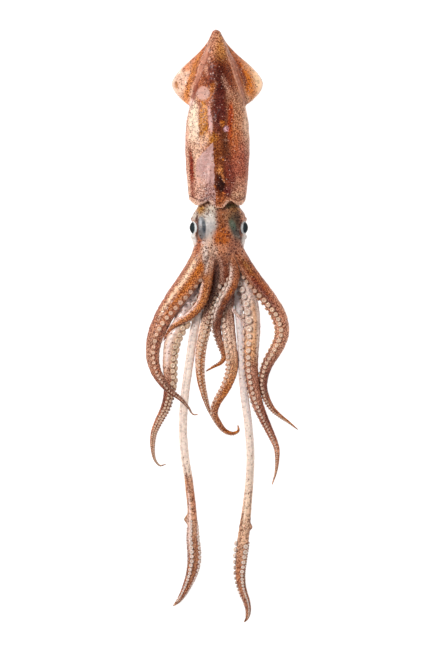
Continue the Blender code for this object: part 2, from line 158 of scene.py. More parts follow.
# Each club: the share where it is widest, its width there, how far its swelling spreads, and the
# share where its suckers are biggest
CLUBS = {"tentacle_left": (0.84, 11.8, 0.09, 0.84), "tentacle_right": (0.78, 11.4, 0.09, 0.805)}
STUB_LENGTH = 62.0  # how much of a limb is one surface with the head
STUB_FADE = 5.0  # over this length the free part of the limb takes over
VOXEL = 0.75

# A route holds (x, y, lift). The face holds (share, degrees): which way the side with the suckers
# looks, from straight up, and to the right of a limb that points down the page. The tones hold
# (share, colour) for the back of the limb. A streak holds (degrees, half width in degrees, first
# share, last share, colour, strength). Some streaks are the skin's own bands; others are painted
# highlights along the upper left of a limb, where the key light falls, and painted shade along
# its far side.
Limb = namedtuple("Limb", "name width fullness sharpness route face tones streaks beads")
# The suckers' colour, (share, their width as a share of the limb's), the step from one to the next
# as a share of their width, and the rows: (degrees from the middle of the face, size).
Beads = namedtuple("Beads", "colour sizes step rows")
EVEN_ROWS = ((-28, 1.0), (28, 1.0))

LIMBS = (
    Limb(
        "arm_left_1", 11.0, 4.5, 1.0,
        ((-2, -98, 17), (-2.5, -112, 11), (-3.5, -127, 6), (-6, -143, 3), (-9.1, -159, 1),
         (-13.1, -178, 0), (-16.9, -198, 0), (-18.1, -217, 0), (-16.9, -231, 0), (-13.5, -246, 0),
         (-9, -260, 0), (-4.8, -269.8, 0)),
        ((0, 100), (0.25, 80), (0.38, 52), (0.55, 24), (1, 5)),
        # the dark tones near the root, and the dark streak at 60 degrees, are painted shade in the
        # hollow between the arms' roots
        ((0, (176, 122, 96)), (0.09, (150, 98, 74)), (0.16, (92, 50, 36)), (0.25, (78, 46, 36)),
         (0.32, (128, 96, 86)), (0.4, (196, 162, 146)), (0.5, (222, 184, 152)), (0.65, (210, 150, 104)),
         (0.85, (190, 128, 88)), (1, (146, 86, 54))),
        ((-50, 26, 0.38, 0.75, (234, 206, 188), 0.85), (60, 20, 0.5, 1.0, (176, 98, 52), 0.7),
         (60, 26, -0.1, 0.3, (60, 26, 18), 0.8)),
        Beads((224, 190, 160), ((0, 0.3), (0.4, 0.36), (0.6, 0.3), (1, 0.3)), 1.2, EVEN_ROWS),
    ),
    Limb(
        "arm_left_2", 12.2, 2.0, 0.8,
        ((-7.5, -93, 13.5), (-8.4, -107, 17), (-10.4, -123, 15.5), (-12.8, -140, 13),
         (-17.5, -153.5, 12), (-28, -165, 11.5), (-38, -171.3, 10.5), (-46, -177, 8.5),
         (-51, -183.5, 6), (-54.3, -190.5, 4)),
        ((0, 168), (0.5, 152), (1, 128)),
        ((0, (210, 184, 172)), (0.16, (200, 164, 144)), (0.3, (188, 130, 94)), (0.55, (200, 136, 92)),
         (0.8, (204, 144, 108)), (1, (184, 126, 96))),
        ((72, 16, 0.1, 0.5, (124, 50, 30), 0.8), (66, 22, 0.5, 1.0, (142, 72, 44), 0.7),
         (-26, 24, -0.1, 0.3, (214, 196, 186), 0.95), (-52, 22, 0.3, 1.1, (234, 208, 198), 0.95)),
        Beads((206, 150, 112), ((0, 0.3), (1, 0.3)), 1.3, EVEN_ROWS),
    ),
    Limb(
        "arm_left_3", 22.6, 2.45, 1.55,
        ((-10.5, -93, 11), (-16.4, -110, 9), (-28.2, -130, 6), (-42.8, -149.5, 2.5), (-54.9, -168.5, 0),
         (-63.4, -189, 0), (-65.4, -206, 0), (-61.5, -222.5, 2), (-50, -239, 7.5), (-38, -248.5, 8),
         (-29.7, -257.4, 6.5), (-25, -264.4, 2.5), (-20.4, -264.6, 1)),
        ((0, 104), (0.25, 82), (0.35, 67), (0.39, 61), (0.42, 55), (0.45, 49), (0.49, 46), (0.66, 45),
         (0.72, 40), (1, 30)),
        ((0, (160, 110, 84)), (0.15, (186, 130, 98)), (0.35, (190, 132, 104)), (0.55, (196, 148, 124)),
         (0.7, (178, 128, 104)), (0.78, (124, 74, 56)), (0.92, (136, 86, 62)), (1, (204, 134, 70))),
        # the pale streak at -26 degrees is partly the skin's own colour and partly a painted highlight
        ((-26, 16, 0.05, 0.46, (236, 204, 178), 0.9), (24, 22, 0.06, 0.46, (232, 138, 50), 1.0),
         (-66, 18, 0.1, 0.6, (170, 112, 96), 0.7), (34, 18, 0.3, 0.74, (184, 92, 48), 0.85),
         (-30, 30, 0.5, 0.7, (216, 176, 154), 0.6)),
        Beads((236, 180, 142), ((0, 0.2), (0.3, 0.235), (0.5, 0.26), (1, 0.3)),
              1.38, ((-40, 1.0), (88, 0.8))),
    ),
    Limb(
        "arm_left_4", 14.6, 3.2, 1.3,
        ((-7, -100, 2), (-13, -116, 1.5), (-25, -146, 0), (-37.6, -172, 0), (-46.8, -194, 0),
         (-48.8, -215, 0), (-48.4, -235, 0), (-52.2, -256, 0), (-59, -270, 0), (-64.4, -283, 0),
         (-65.5, -299, 0), (-63, -310.5, 0), (-58, -315.8, 0), (-52.5, -314.3, 0)),
        ((0, 80), (0.36, 78), (0.58, 74), (0.68, 40), (1, 20)),
        ((0, (166, 154, 158)), (0.25, (206, 194, 192)), (0.4, (226, 200, 182)), (0.54, (214, 176, 154)),
         (0.62, (168, 112, 92)), (0.68, (134, 80, 62)), (0.76, (200, 142, 112)), (0.9, (204, 146, 110)),
         (1, (150, 100, 60))),
        # the pale lilac band at -24 degrees is a painted highlight
        ((-24, 22, 0.2, 0.56, (216, 198, 192), 0.85), (-84, 14, 0.2, 0.62, (146, 92, 84), 0.8),
         (54, 26, 0.24, 0.62, (140, 88, 62), 0.9), (-20, 26, 0.62, 0.9, (140, 80, 58), 0.5)),
        Beads((238, 204, 168),
              ((0, 0.5), (0.33, 0.58), (0.37, 0.46), (0.6, 0.46), (0.68, 0.3), (1, 0.3)),
              1.0, ((-44, 0.85), (-4, 1.0), (58, 0.7))),
    ),
    Limb(
        "arm_right_1", 15.6, 2.05, 0.76,
        ((5, -98, 17), (7.5, -112, 11), (8, -126, 6), (8.5, -142, 2.5), (8.4, -157, 0.5),
         (9.3, -170, 0), (11.4, -190, 0), (14.0, -210, 0), (13.3, -223, 0), (6.5, -239.5, 0),
         (-1.5, -253, 0), (-4.0, -263.4, 0), (1.2, -274.4, 0), (7.3, -281.2, 0), (14.5, -283.6, 0),
         (20.3, -281, 0), (20, -275.3, 0)),
        ((0, -90), (0.35, -58), (0.6, -62), (0.8, -70), (1, -80)),
        # the dark tones near the root and the dark line at -80 degrees are painted shade in the hollow
        # between the arms' roots
        ((0, (150, 98, 76)), (0.16, (128, 76, 56)), (0.24, (96, 56, 44)), (0.33, (190, 156, 138)),
         (0.45, (226, 194, 172)), (0.58, (218, 166, 126)), (0.68, (208, 140, 90)),
         (0.8, (190, 136, 106)), (0.92, (176, 114, 74)), (1, (196, 128, 70))),
        ((-42, 20, 0.0, 0.24, (164, 120, 104), 0.8), (-80, 14, 0.0, 0.25, (46, 18, 12), 0.9),
         (78, 18, 0.25, 0.7, (132, 58, 44), 0.8), (40, 22, 0.7, 0.95, (150, 84, 54), 0.45)),
        Beads((222, 188, 166), ((0, 0.36), (1, 0.3)), 1.25, ((-62, 0.6), (28, 1.0))),
    ),
    Limb(
        "arm_right_2", 11.6, 2.3, 0.95,
        ((10, -93, 12), (13.8, -107, 15), (16.2, -123, 15), (13.5, -136, 14.5), (5.5, -150, 13.5),
         (0, -163, 11), (-1.4, -175, 7.5), (0, -186, 4), (4, -198.5, 1), (6.3, -206, 0),
         (3.8, -211.9, 0), (-4.8, -217, 0), (-12, -221.3, 0)),
        ((0, -90), (0.45, -78), (0.75, -96), (1, -110)),
        ((0, (160, 108, 84)), (0.2, (170, 110, 78)), (0.36, (166, 104, 70)), (0.48, (126, 72, 50)),
         (0.6, (124, 76, 58)), (0.72, (176, 134, 114)), (0.86, (196, 136, 96)), (1, (180, 116, 60))),
        ((-44, 32, 0.12, 0.6, (214, 198, 188), 0.95), (76, 20, 0.3, 0.72, (96, 38, 24), 0.8),
         (20, 16, 0.25, 0.42, (204, 122, 66), 0.6)),
        Beads((232, 214, 200), ((0, 0.3), (0.2, 0.38), (1, 0.36)), 1.35, ((14, 1.0), (-42, 0.8))),
    ),
    Limb(
        "arm_right_3", 16.5, 2.5, 1.12,
        ((13.5, -93, 11), (21.8, -109, 9.5), (35.2, -129, 7), (51.0, -149.5, 3.5), (60.9, -165.5, 0.5),
         (64.3, -182, 0), (60.3, -195.5, 0), (49.5, -214.5, 0), (45.5, -228, 0), (45.2, -238, 0),
         (53.1, -257, 0), (61.3, -265.2, 0), (70.7, -272.2, 0), (79.8, -279.6, 0)),
        ((0, -96), (0.2, -76), (0.3, -58), (0.4, -44), (0.5, -38), (0.68, -42), (1, -58)),
        ((0, (148, 98, 76)), (0.12, (156, 100, 74)), (0.25, (186, 118, 84)), (0.4, (214, 154, 126)),
         (0.55, (214, 160, 130)), (0.66, (138, 80, 62)), (0.75, (120, 68, 52)), (0.85, (188, 132, 104)),
         (1, (196, 134, 80))),
        ((-6, 22, 0.14, 0.42, (128, 38, 10), 1.0), (56, 26, 0.05, 0.3, (178, 116, 88), 0.6),
         (14, 12, 0.05, 0.2, (160, 116, 60), 0.6), (60, 28, 0.26, 0.6, (222, 172, 148), 0.8)),
        Beads((230, 188, 150), ((0, 0.2), (0.15, 0.25), (0.25, 0.33), (1, 0.32)),
              1.16, ((-32, 0.7), (28, 1.0))),
    ),
    Limb(
        "arm_right_4", 16.5, 2.7, 1.2,
        ((8, -100, 2), (18, -116, 1.5), (26.5, -133, 0.5), (31.5, -150, 0), (34.2, -168, 0),
         (34.2, -187, 0), (33.3, -203, 0), (33.3, -219, 0), (35.5, -236, 0), (39.8, -254, 0),
         (46.5, -270, 0), (53.5, -285, 0), (58.7, -298, 0), (59.3, -310, 0), (57.8, -323, 0),
         (54.2, -334.6, 0)),
        ((0, -62), (0.3, -46), (0.55, -44), (0.68, -36), (1, -30)),
        ((0, (160, 140, 136)), (0.14, (204, 188, 182)), (0.3, (220, 198, 186)), (0.42, (214, 164, 120)),
         (0.52, (188, 134, 112)), (0.62, (190, 134, 110)), (0.72, (150, 84, 66)),
         (0.82, (204, 142, 114)), (1, (196, 138, 90))),
        ((52, 22, 0.1, 0.5, (216, 200, 190), 0.9), (84, 14, 0.2, 0.62, (146, 84, 78), 0.7),
         (16, 22, 0.2, 0.5, (220, 166, 120), 0.7), (40, 26, 0.66, 0.84, (112, 48, 36), 0.7)),
        Beads((236, 204, 184),
              ((0, 0.34), (0.18, 0.36), (0.27, 0.44), (0.4, 0.36), (0.6, 0.33), (0.7, 0.26),
               (1, 0.26)),
              1.2, ((-34, 0.85), (22, 1.0))),
    ),
    Limb(
        "tentacle_left", 8.4, 9.0, 1.0,
        ((-4, -102, 7), (-9.5, -122, 3.5), (-14.5, -140, 1), (-19, -160, 0), (-23.7, -180, 0),
         (-28.3, -210, 0), (-32.5, -240, 0), (-35.0, -270, 0), (-33.9, -300, 0), (-29.4, -330, 0),
         (-26.1, -360, 0), (-24.9, -390, 0), (-23.6, -406, 0), (-25.4, -421, 0), (-32.7, -440, 0),
         (-39, -450.5, 0), (-44.8, -456.3, 0)),
        ((0, 60), (0.6, 44), (0.8, 18), (1, 14)),
        ((0, (170, 158, 156)), (0.16, (206, 196, 192)), (0.3, (224, 209, 199)), (0.55, (226, 209, 198)),
         (0.615, (222, 202, 188)), (0.64, (214, 166, 134)), (0.78, (214, 168, 136)),
         (0.88, (190, 132, 96)), (0.97, (170, 104, 72)), (1, (212, 178, 150))),
        ((-16, 12, 0.585, 0.7, (104, 26, 12), 1.0), (42, 22, 0.615, 0.79, (190, 108, 66), 0.85),
         (-30, 16, 0.63, 0.78, (232, 206, 200), 0.95), (24, 20, 0.76, 0.98, (180, 112, 68), 0.85),
         (-50, 24, 0.7, 0.87, (230, 210, 204), 0.85), (-92, 22, 0.68, 0.81, (146, 104, 58), 0.95),
         (84, 14, 0.2, 0.6, (190, 140, 124), 0.5), (-84, 14, 0.2, 0.6, (206, 160, 140), 0.5)),
        Beads((236, 216, 208), ((0, 0.37), (1, 0.37)),
              1.08, ((-40, 1.0), (40, 0.92), (96, 0.6), (-110, 0.6))),
    ),
    Limb(
        "tentacle_right", 8.1, 9.0, 1.0,
        ((8, -102, 7), (15.5, -122, 3.5), (19.4, -140, 1), (20.4, -158, 0), (22.6, -180, 0),
         (23.9, -208, 0), (25.8, -240, 0), (30.3, -275, 0), (32.4, -305, 0), (31.5, -330, 0),
         (28.4, -362, 0), (25.0, -390, 0), (22.4, -415, 0), (22.2, -428, 0), (24.8, -441, 0),
         (28.8, -452, 0), (30.4, -461.5, 0), (29, -468.5, 0), (26.2, -472.4, 0)),
        ((0, -60), (0.6, -44), (0.8, -14), (0.88, -30), (1, -34)),
        ((0, (200, 192, 192)), (0.12, (222, 214, 214)), (0.2, (206, 198, 198)), (0.35, (204, 192, 188)),
         (0.48, (222, 207, 197)), (0.6, (220, 201, 186)), (0.72, (214, 178, 150)),
         (0.78, (218, 176, 146)), (0.86, (196, 140, 106)), (0.95, (164, 106, 80)), (1, (176, 122, 84))),
        ((-46, 18, 0.68, 0.8, (150, 96, 62), 0.8), (92, 22, 0.67, 0.8, (134, 62, 46), 0.9),
         # the thin white streak at -18 degrees is a painted highlight
         (-18, 8, 0.62, 0.76, (246, 228, 210), 0.8), (30, 14, 0.15, 0.5, (226, 218, 218), 0.8),
         (76, 18, 0.83, 0.97, (112, 44, 36), 0.8), (-24, 22, 0.79, 0.95, (184, 112, 66), 0.8),
         (-84, 14, 0.3, 0.75, (200, 150, 126), 0.5)),
        Beads((240, 222, 208), ((0, 0.42), (0.9, 0.42), (1, 0.32)),
              1.2, ((-58, 1.1), (48, 0.95), (108, 0.5), (-116, 0.5))),
    ),
)
TENTACLES = ("tentacle_left", "tentacle_right")
# Limbs with few colour cells near their root: (the last share, how clear)
CLEAR = {
    "tentacle_left": (0.61, 0.97), "tentacle_right": (0.66, 0.9), "arm_left_4": (0.55, 0.8),
    "arm_right_4": (0.44, 0.6),
}
# The round mouth mass between the roots of the arms: its middle and half sizes
MOUTH_MASS = ((0.5, -127.0, 7.0), (8.0, 21.0, 6.5))
# Small fleshy knobs on the stalks: (limb, share, degrees from straight up, rise, spread)
KNOBS = (("tentacle_left", 0.744, -92, 3.6, 4.0), ("tentacle_right", 0.737, 88, 2.6, 3.2))
WEB_STRAND = ((8, -152, 6), (18, -163.5, 8.5), (29.5, -175, 8.5))
WEB_WIDTH = 4.8
WEB_COLOUR = (206, 180, 170)

ORAL = (220, 186, 166)  # the side of the limbs with the suckers


# ---------------------------------------------------------------- curves and tables


def linear(colour):
    """A colour given from 0 to 255 for the screen, as linear light."""
    c = np.array(colour, float) / 255
    return np.where(c <= 0.04045, c / 12.92, ((c + 0.055) / 1.055) ** 2.4)


def rgba(colour):
    return (*(float(x) for x in linear(colour)), 1.0)


def smooth_step(t):
    t = np.clip(t, 0.0, 1.0)
    return t * t * (3.0 - 2.0 * t)


def bump(x, middle, spread):
    return np.exp(-(((x - middle) / spread) ** 2))


def around(sides, start=0.0):
    """Turns evenly spaced round a ring."""
    return np.linspace(start, start + 2 * math.pi, sides, endpoint=False)


def unit(rows):
    """The rows, each made one long."""
    return rows / np.linalg.norm(rows, axis=1)[:, None]


def above_table(points):
    points[..., 2] = np.maximum(points[..., 2], 0.0)
    return points


def wrapped(angle):
    """An angle brought between -pi and pi."""
    return (angle + math.pi) % (2 * math.pi) - math.pi


def hermite(at, values, slopes, x):
    k = np.clip(np.searchsorted(at, x, side="right") - 1, 0, len(at) - 2)
    span = at[k + 1] - at[k]
    t = np.clip((x - at[k]) / span, 0.0, 1.0)
    if values.ndim > 1:
        span, t = span[..., None], t[..., None]
    return (
        (2 * t**3 - 3 * t**2 + 1) * values[k]
        + (t**3 - 2 * t**2 + t) * span * slopes[k]
        + (3 * t**2 - 2 * t**3) * values[k + 1]
        + (t**3 - t**2) * span * slopes[k + 1]
    )


def read_off(table, x):
    """The smooth values at x of a table of (x, value) rows."""
    at, values = np.array(table, float).T
    return hermite(at, values, np.gradient(values, at), np.asarray(x, float))


def smooth_line(points, shares):
    """Places at shares of the length of a smooth curve through points."""
    knots = np.array(points, float)
    at = np.concatenate([[0.0], np.cumsum(np.linalg.norm(np.diff(knots, axis=0), axis=1) ** 0.5)])
    fine = np.linspace(0.0, at[-1], 24 * len(knots))
    curve = hermite(at, knots, np.gradient(knots, at, axis=0), fine)
    run = np.concatenate([[0.0], np.cumsum(np.linalg.norm(np.diff(curve, axis=0), axis=1))])
    return np.stack([np.interp(np.asarray(shares) * run[-1], run, c) for c in curve.T], axis=1)


def ripple(points, size, seed):
    """Soft bumps about size across, between -1 and 1, the same each run."""
    rng = np.random.default_rng(seed)
    total = np.zeros(len(points))
    for _ in range(9):
        way = rng.normal(size=3)
        way *= 2 * math.pi / (size * rng.uniform(0.7, 1.5)) / np.linalg.norm(way)
        total += np.sin(points @ way + rng.uniform(0, 2 * math.pi))
    return total / 4.5


def ripples(points, layers):
    return sum(
        height * ripple(points * squeeze, size, seed) for height, size, squeeze, seed in layers
    )


# ---------------------------------------------------------------- making meshes


def mesh_object(name, points, faces):
    data = bpy.data.meshes.new(name)
    data.from_pydata([tuple(p) for p in np.asarray(points) * MM], [], faces)
    data.update()
    made = bpy.data.objects.new(name, data)
    bpy.context.scene.collection.objects.link(made)
    return made


def points_at(x, y, z):
    """Points made of three rows of numbers. A single number stands for a whole row."""
    return np.stack(np.broadcast_arrays(x, y, z), -1)


def grid_faces(rings, sides):
    """Quads between rings of points, each ring closed on itself."""
    i, j = np.meshgrid(np.arange(rings - 1), np.arange(sides), indexing="ij")
    k = (j + 1) % sides
    quads = np.stack([i * sides + j, i * sides + k, (i + 1) * sides + k, (i + 1) * sides + j], -1)
    return quads.reshape(-1, 4).tolist()


def tube(grid, first_pole, last_pole):
    """Points and faces of a closed tube through rings of points, with a pole at each end."""
    rings, sides, _ = grid.shape
    points = np.concatenate([grid.reshape(-1, 3), [first_pole, last_pole]])
    faces = grid_faces(rings, sides)
    first, last = rings * sides, rings * sides + 1
    for j in range(sides):
        k = (j + 1) % sides
        faces.append([k, j, first])
        faces.append([(rings - 1) * sides + j, (rings - 1) * sides + k, last])
    return points, faces


def joined(parts):
    """The points and faces of several parts as one list each."""
    points, faces, start = [], [], 0
    for p, f in parts:
        points.append(p)
        faces.extend([[v + start for v in face] for face in f])
        start += len(p)
    return np.concatenate(points), faces


def melted(name, parts, voxel):
    """One closed skin round all the parts: its object."""
    rough = mesh_object(name + "_rough", *joined(parts))
    remesh = rough.modifiers.new("melt", "REMESH")
    remesh.mode = "VOXEL"
    remesh.voxel_size = voxel * MM
    remesh.use_smooth_shade = True
    shape = rough.evaluated_get(bpy.context.evaluated_depsgraph_get())
    data = bpy.data.meshes.new_from_object(shape)
    data.name = name
    bpy.data.objects.remove(rough, do_unlink=True)
    made = bpy.data.objects.new(name, data)
    bpy.context.scene.collection.objects.link(made)
    return made


def points_of(thing):
    co = np.zeros(len(thing.data.vertices) * 3)
    thing.data.vertices.foreach_get("co", co)
    return co.reshape(-1, 3) / MM


def normals_of(thing):
    normals = np.zeros(len(thing.data.vertices) * 3)
    thing.data.vertices.foreach_get("normal", normals)
    return normals.reshape(-1, 3)


def set_points(thing, points):
    """Gives the object these points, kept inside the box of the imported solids."""
    low, high = (np.array(corner) / MM for corner in cad_box)
    inside = np.clip(points, low + 0.02, high - 0.02)
    thing.data.vertices.foreach_set("co", (inside * MM).ravel())
    thing.data.update()


def edges_of(thing):
    pairs = np.zeros(len(thing.data.edges) * 2, int)
    thing.data.edges.foreach_get("vertices", pairs)
    return pairs.reshape(-1, 2)


def relax(values, edges, rounds, weight=0.5, keep=False):
    """Draws each row of values towards the mean of its neighbours', weight by weight.

    To keep a shape's size, each round is followed by one that pushes back.
    """
    count = len(values)
    a, b = edges.T
    degree = np.maximum(np.bincount(a, minlength=count) + np.bincount(b, minlength=count), 1)
    values = np.array(values, float)
    weight = np.broadcast_to(weight, count)
    for turn in range(2 * rounds if keep else rounds):
        step = weight * -1.04 if keep and turn % 2 else weight
        for c in range(values.shape[1]):
            v = values[:, c]
            mean = (
                np.bincount(a, weights=v[b], minlength=count)
                + np.bincount(b, weights=v[a], minlength=count)
            ) / degree
            values[:, c] = v + (mean - v) * step
    return values


def set_values(thing, name, values):
    """Stores a number or a colour at each point, or one number at all, for the materials."""
    values = np.asarray(values, np.float32)
    if values.ndim == 0:
        values = np.full(len(thing.data.vertices), values)
    if values.ndim == 1:
        thing.data.attributes.new(name, "FLOAT", "POINT").data.foreach_set("value", values)
    else:
        colour = np.ones((len(values), 4), np.float32)
        colour[:, :3] = values
        made = thing.data.attributes.new(name, "FLOAT_COLOR", "POINT")
        made.data.foreach_set("color", colour.ravel())


def dress(thing, material, slot, *nodes):
    """Gives the piece its material and its place in the frame."""
    thing.data.materials.clear()
    thing.data.materials.append(material)
    thing.data.shade_smooth()
    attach(thing, "root")
    if nodes:
        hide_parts(*nodes)
    return thing


def piece_of(name, points, faces, values, material, slot, *nodes):
    """A piece of the scene with its values for the material."""
    piece = mesh_object(name, points, faces)
    set_points(piece, points)
    for key, value in values.items():
        set_values(piece, key, value)
    return dress(piece, material, slot, *nodes)


# ---------------------------------------------------------------- the mantle


def half_width(share):
    return read_off(MANTLE_TAPER, share) * MANTLE_WIDTH / 2


def height_at(share):
    half = half_width(share)
    return 2 * half * (1.0 - (1.0 - MANTLE_HEIGHT / MANTLE_WIDTH) * 2 * half / MANTLE_WIDTH)


def lean(share):
    return MANTLE_X - TIP_LEAN * np.maximum(0.0, 1.0 - share / 0.35) ** 2


def margin_y(turn):
    """The mantle's front edge. The turn is 0 at the back's middle and pi at the belly's."""
    turn = np.abs(wrapped(turn - POINT_ASIDE))
    blunt, foot = POINT_TURN
    point = np.clip((foot - turn) / (foot - blunt), 0.0, 1.0)
    point = 0.35 * smooth_step(point) + 0.65 * point
    lobes = SHOULDER_LOBE * bump(turn, SHOULDER_TURN, SHOULDER_SPREAD)
    lobes += FUNNEL_LOBE * bump(turn, FUNNEL_TURN, FUNNEL_SPREAD)
    return MARGIN_Y + (EDGE_RUN_BACK - lobes) * (1.0 - point)


def oval(turns, centre_x, half, height, sink, base=0.0):
    """The x and z of an upright oval pressed flat on its base."""
    z = base - sink + height / 2 * (1.0 + np.cos(turns))
    return centre_x + half * np.sin(turns), np.maximum(z, base)


def mantle_tube():
    """The body tube, down to its free edge and back up inside its mouth."""
    turns = around(120)
    first, last = MANTLE_TAPER[1][0], MANTLE_TAPER[-1][0]
    last_y = TIP_Y - last * MANTLE_LENGTH
    rings = []
    for t in np.linspace(0, 1, 110) ** 1.15:
        share = first + (last - first) * t
        half = half_width(share)
        sink = BELLY_SINK * min(1.0, 2 * half / MANTLE_WIDTH + 0.1)
        x, z = oval(turns, lean(share), half, height_at(share), sink)
        edge = max(0.0, (share - EDGE_START) / (last - EDGE_START)) ** 1.5
        y = TIP_Y - share * MANTLE_LENGTH + (margin_y(turns) - last_y) * edge
        rings.append(points_at(x, y, z))
    rim = rings[-1]
    mouth_half = half_width(last) - RIM_THICKNESS
    mouth_height = height_at(last) - BELLY_SINK - 2 * RIM_THICKNESS
    floor_y = MARGIN_Y + SOCKET_DEPTH
    for depth, taper in MOUTH_RINGS:
        base = RIM_THICKNESS + mouth_height * (1 - taper) / 2
        x, z = oval(turns, 0.0, mouth_half * taper, mouth_height * taper, 0.0, base)
        rings.append(points_at(x, rim[:, 1] + (floor_y - rim[:, 1]) * depth, z))
    tip = (lean(0.0), TIP_Y, height_at(first) / 2)
    return tube(np.array(rings), tip, (0.0, floor_y, RIM_THICKNESS + mouth_height / 2))


def fin_reach(share):
    return read_off(FIN_OUTLINE, share) * FIN_SPAN / 2


def fin_sheet(side):
    """One fin as a closed sheet: a smooth band at its root, a crease, and a drooping flap."""
    stations, columns = 90, 30
    first, last = FIN_OUTLINE[0][0], FIN_OUTLINE[-1][0]
    t = np.linspace(0, 1, columns)
    droop = 0.5 - 0.5 * np.cos(math.pi * t)
    sheets = {1: [], -1: []}
    for share in np.linspace(first, last, stations):
        half, height, out = half_width(share), height_at(share), fin_reach(share)
        side_z = FIN_SIDE * height
        settled = smooth_step((out - half) / FIN_DROOP_RUN)
        root_x, root_z = FIN_ROOT[0] * half, side_z + (FIN_ROOT[1] * height - side_z) * settled
        edge_z = side_z + (min(FIN_EDGE_LIFT, side_z) - side_z) * settled
        ends = smooth_step(min(share - first, last - share) / FIN_THINNING)
        swell = (FIN_BASE_THICKNESS - FIN_EDGE_THICKNESS) * (1.0 - t**0.8) * ends
        thick = np.minimum(FIN_EDGE_THICKNESS + swell, half * 0.35)
        folds = sum(rise * bump(t, middle, spread) for rise, middle, spread in FIN_FOLDS)
        wave = FIN_WAVE * t**2 * np.sin(share * FIN_WAVES + side)
        z = root_z + (edge_z - root_z) * droop + (folds + wave) * settled
        x = lean(share) + side * (root_x + (out - root_x) * t)
        y = TIP_Y - share * MANTLE_LENGTH
        for way in (1, -1):
            sheets[way].append(points_at(x, y, z + way * thick / 2))
    top, under = np.array(sheets[1]), np.array(sheets[-1])
    ring = np.concatenate([top, under[:, ::-1]], axis=1)
    points, count = ring.reshape(-1, 3), 2 * columns
    faces = grid_faces(stations, count)
    for row in (0, stations - 1):
        for j in range(columns - 1):
            low, high = row * count + j, row * count + count - 1 - j
            faces.append([low, low + 1, high - 1, high])
    return points, faces


def build_mantle():
    mantle = melted("mantle_skin", [mantle_tube(), fin_sheet(-1), fin_sheet(1)], VOXEL)
    edges = edges_of(mantle)
    points = above_table(relax(points_of(mantle), edges, 14, keep=True))
    upper = smooth_step((points[:, 2] - 4.0) / 8.0)
    folds = ripples(points, MANTLE_RIPPLES)
    set_points(mantle, points)
    points = points + normals_of(mantle) * (folds * upper)[:, None]
    set_points(mantle, points)
    share = np.clip((TIP_Y - points[:, 1]) / MANTLE_LENGTH, 0.0, 1.0)
    half = half_width(share)
    past = np.abs(points[:, 0] - lean(share)) - half * 0.97
    first, last = FIN_OUTLINE[0][0], FIN_OUTLINE[-1][0]
    room = np.maximum(fin_reach(np.clip(share, first, last)) - half, 1.5)
    fin = np.where(share < 0.45, np.clip(past / room, 0.0, 1.0), 0.0)
    set_values(mantle, "fin", fin)
    turn = np.arctan2(points[:, 0], points[:, 2] - MANTLE_HEIGHT * 0.4)
    set_values(mantle, "inward", points[:, 1] - margin_y(turn))
    return dress(mantle, mantle_skin(), "skin", "mantle")


# ---------------------------------------------------------------- limbs


def limb_width(limb, share):
    if limb.name not in TENTACLES:
        return TIP_WIDTH + (limb.width - TIP_WIDTH) * (1.0 - share**limb.fullness) ** limb.sharpness
    widest, full, spread, _ = CLUBS[limb.name]
    club = bump(share, widest, spread)
    past = np.clip((share - CLUB_MIDDLE) / (1.0 - CLUB_MIDDLE), 0.0, 1.0)
    width = (limb.width + (full - limb.width) * club) * (1.0 - past**2) ** 0.5
    return np.maximum(width, TIP_WIDTH)


def bead_size(limb, share):
    return np.interp(share, *np.array(limb.beads.sizes).T)


def pitch_at(limb, share, width):
    """How far apart the suckers of one row are where the limb is this wide."""
    return 0.5 + width * bead_size(limb, share) * limb.beads.step


class Track:
    """A limb's middle line and frame, read at shares of its length."""

    def __init__(self, limb):
        self.limb = limb
        self.fine = np.linspace(0.0, 1.0, 500)
        line = smooth_line(limb.route, self.fine)
        self.width = limb_width(limb, self.fine)
        self.middle = line + np.outer(ROUNDNESS * self.width / 2, (0, 0, 1))
        steps = np.linalg.norm(np.diff(self.middle, axis=0), axis=1)
        self.run = np.concatenate([[0.0], np.cumsum(steps)])
        self.length = self.run[-1]
        # how many suckers of one row are passed so far
        self.beat = np.cumsum(np.gradient(self.run) / pitch_at(limb, self.fine, self.width))
        self.along = unit(np.gradient(self.middle, axis=0))
        self.right = unit(np.cross((0.0, 0.0, 1.0), self.along))
        self.up = np.cross(self.along, self.right)
        self.face = np.radians(np.interp(self.fine, *np.array(limb.face, float).T))

    def at(self, name, shares):
        values = getattr(self, name)
        if values.ndim == 1:
            return np.interp(shares, self.fine, values)
        return np.stack([np.interp(shares, self.fine, c) for c in values.T], axis=-1)


def section(track, shares, turns):
    """How far a limb's surface is out at each turn, as a share of its oval: ridges and folds."""
    width = track.at("width", shares)[:, None]
    away = np.abs(wrapped(turns[None, :] - track.at("face", shares)[:, None]))
    arm = 0.0 if track.limb.name in TENTACLES else 1.0
    club = bump(shares, CLUB_MIDDLE, CLUB_SPREAD)[:, None] * (1 - arm)
    run = track.at("run", shares)[:, None]
    lobes = 0.5 + 0.5 * np.cos(2 * math.pi * track.at("beat", shares))[:, None]
    full = np.clip(width / 6.0, 0.0, 1.0)
    border = bump(away, BORDER_TURN, BORDER_SPREAD) * (arm + 0.2 * club) * full
    out = 1.0 - FACE_HOLLOW * bump(away, 0.0, FACE_SPREAD) * (arm + club)
    out = out + (BORDER_RISE + LOBE_RISE * lobes) * border
    out = out + KEEL_RISE * bump(away, math.pi, KEEL_SPREAD) * arm
    for name, share, degrees, rise, spread in KNOBS:
        if name == track.limb.name:
            near = bump(run, share * track.length, spread)
            out = out + rise / (width / 2) * near * bump(
                np.abs(wrapped(turns - math.radians(degrees)))[None, :], 0.0, 0.5
            )
    return out


def limb_rings(track, shares, turns, scale):
    """Rings of points round a limb, kept above the table."""
    width = track.at("width", shares)
    out = section(track, shares, turns) * (width / 2 * scale)[:, None]
    middle, right, up = (track.at(n, shares)[:, None, :] for n in ("middle", "right", "up"))
    rings = middle + right * (out * np.sin(turns))[..., None]
    return above_table(rings + up * (ROUNDNESS * out * np.cos(turns))[..., None])


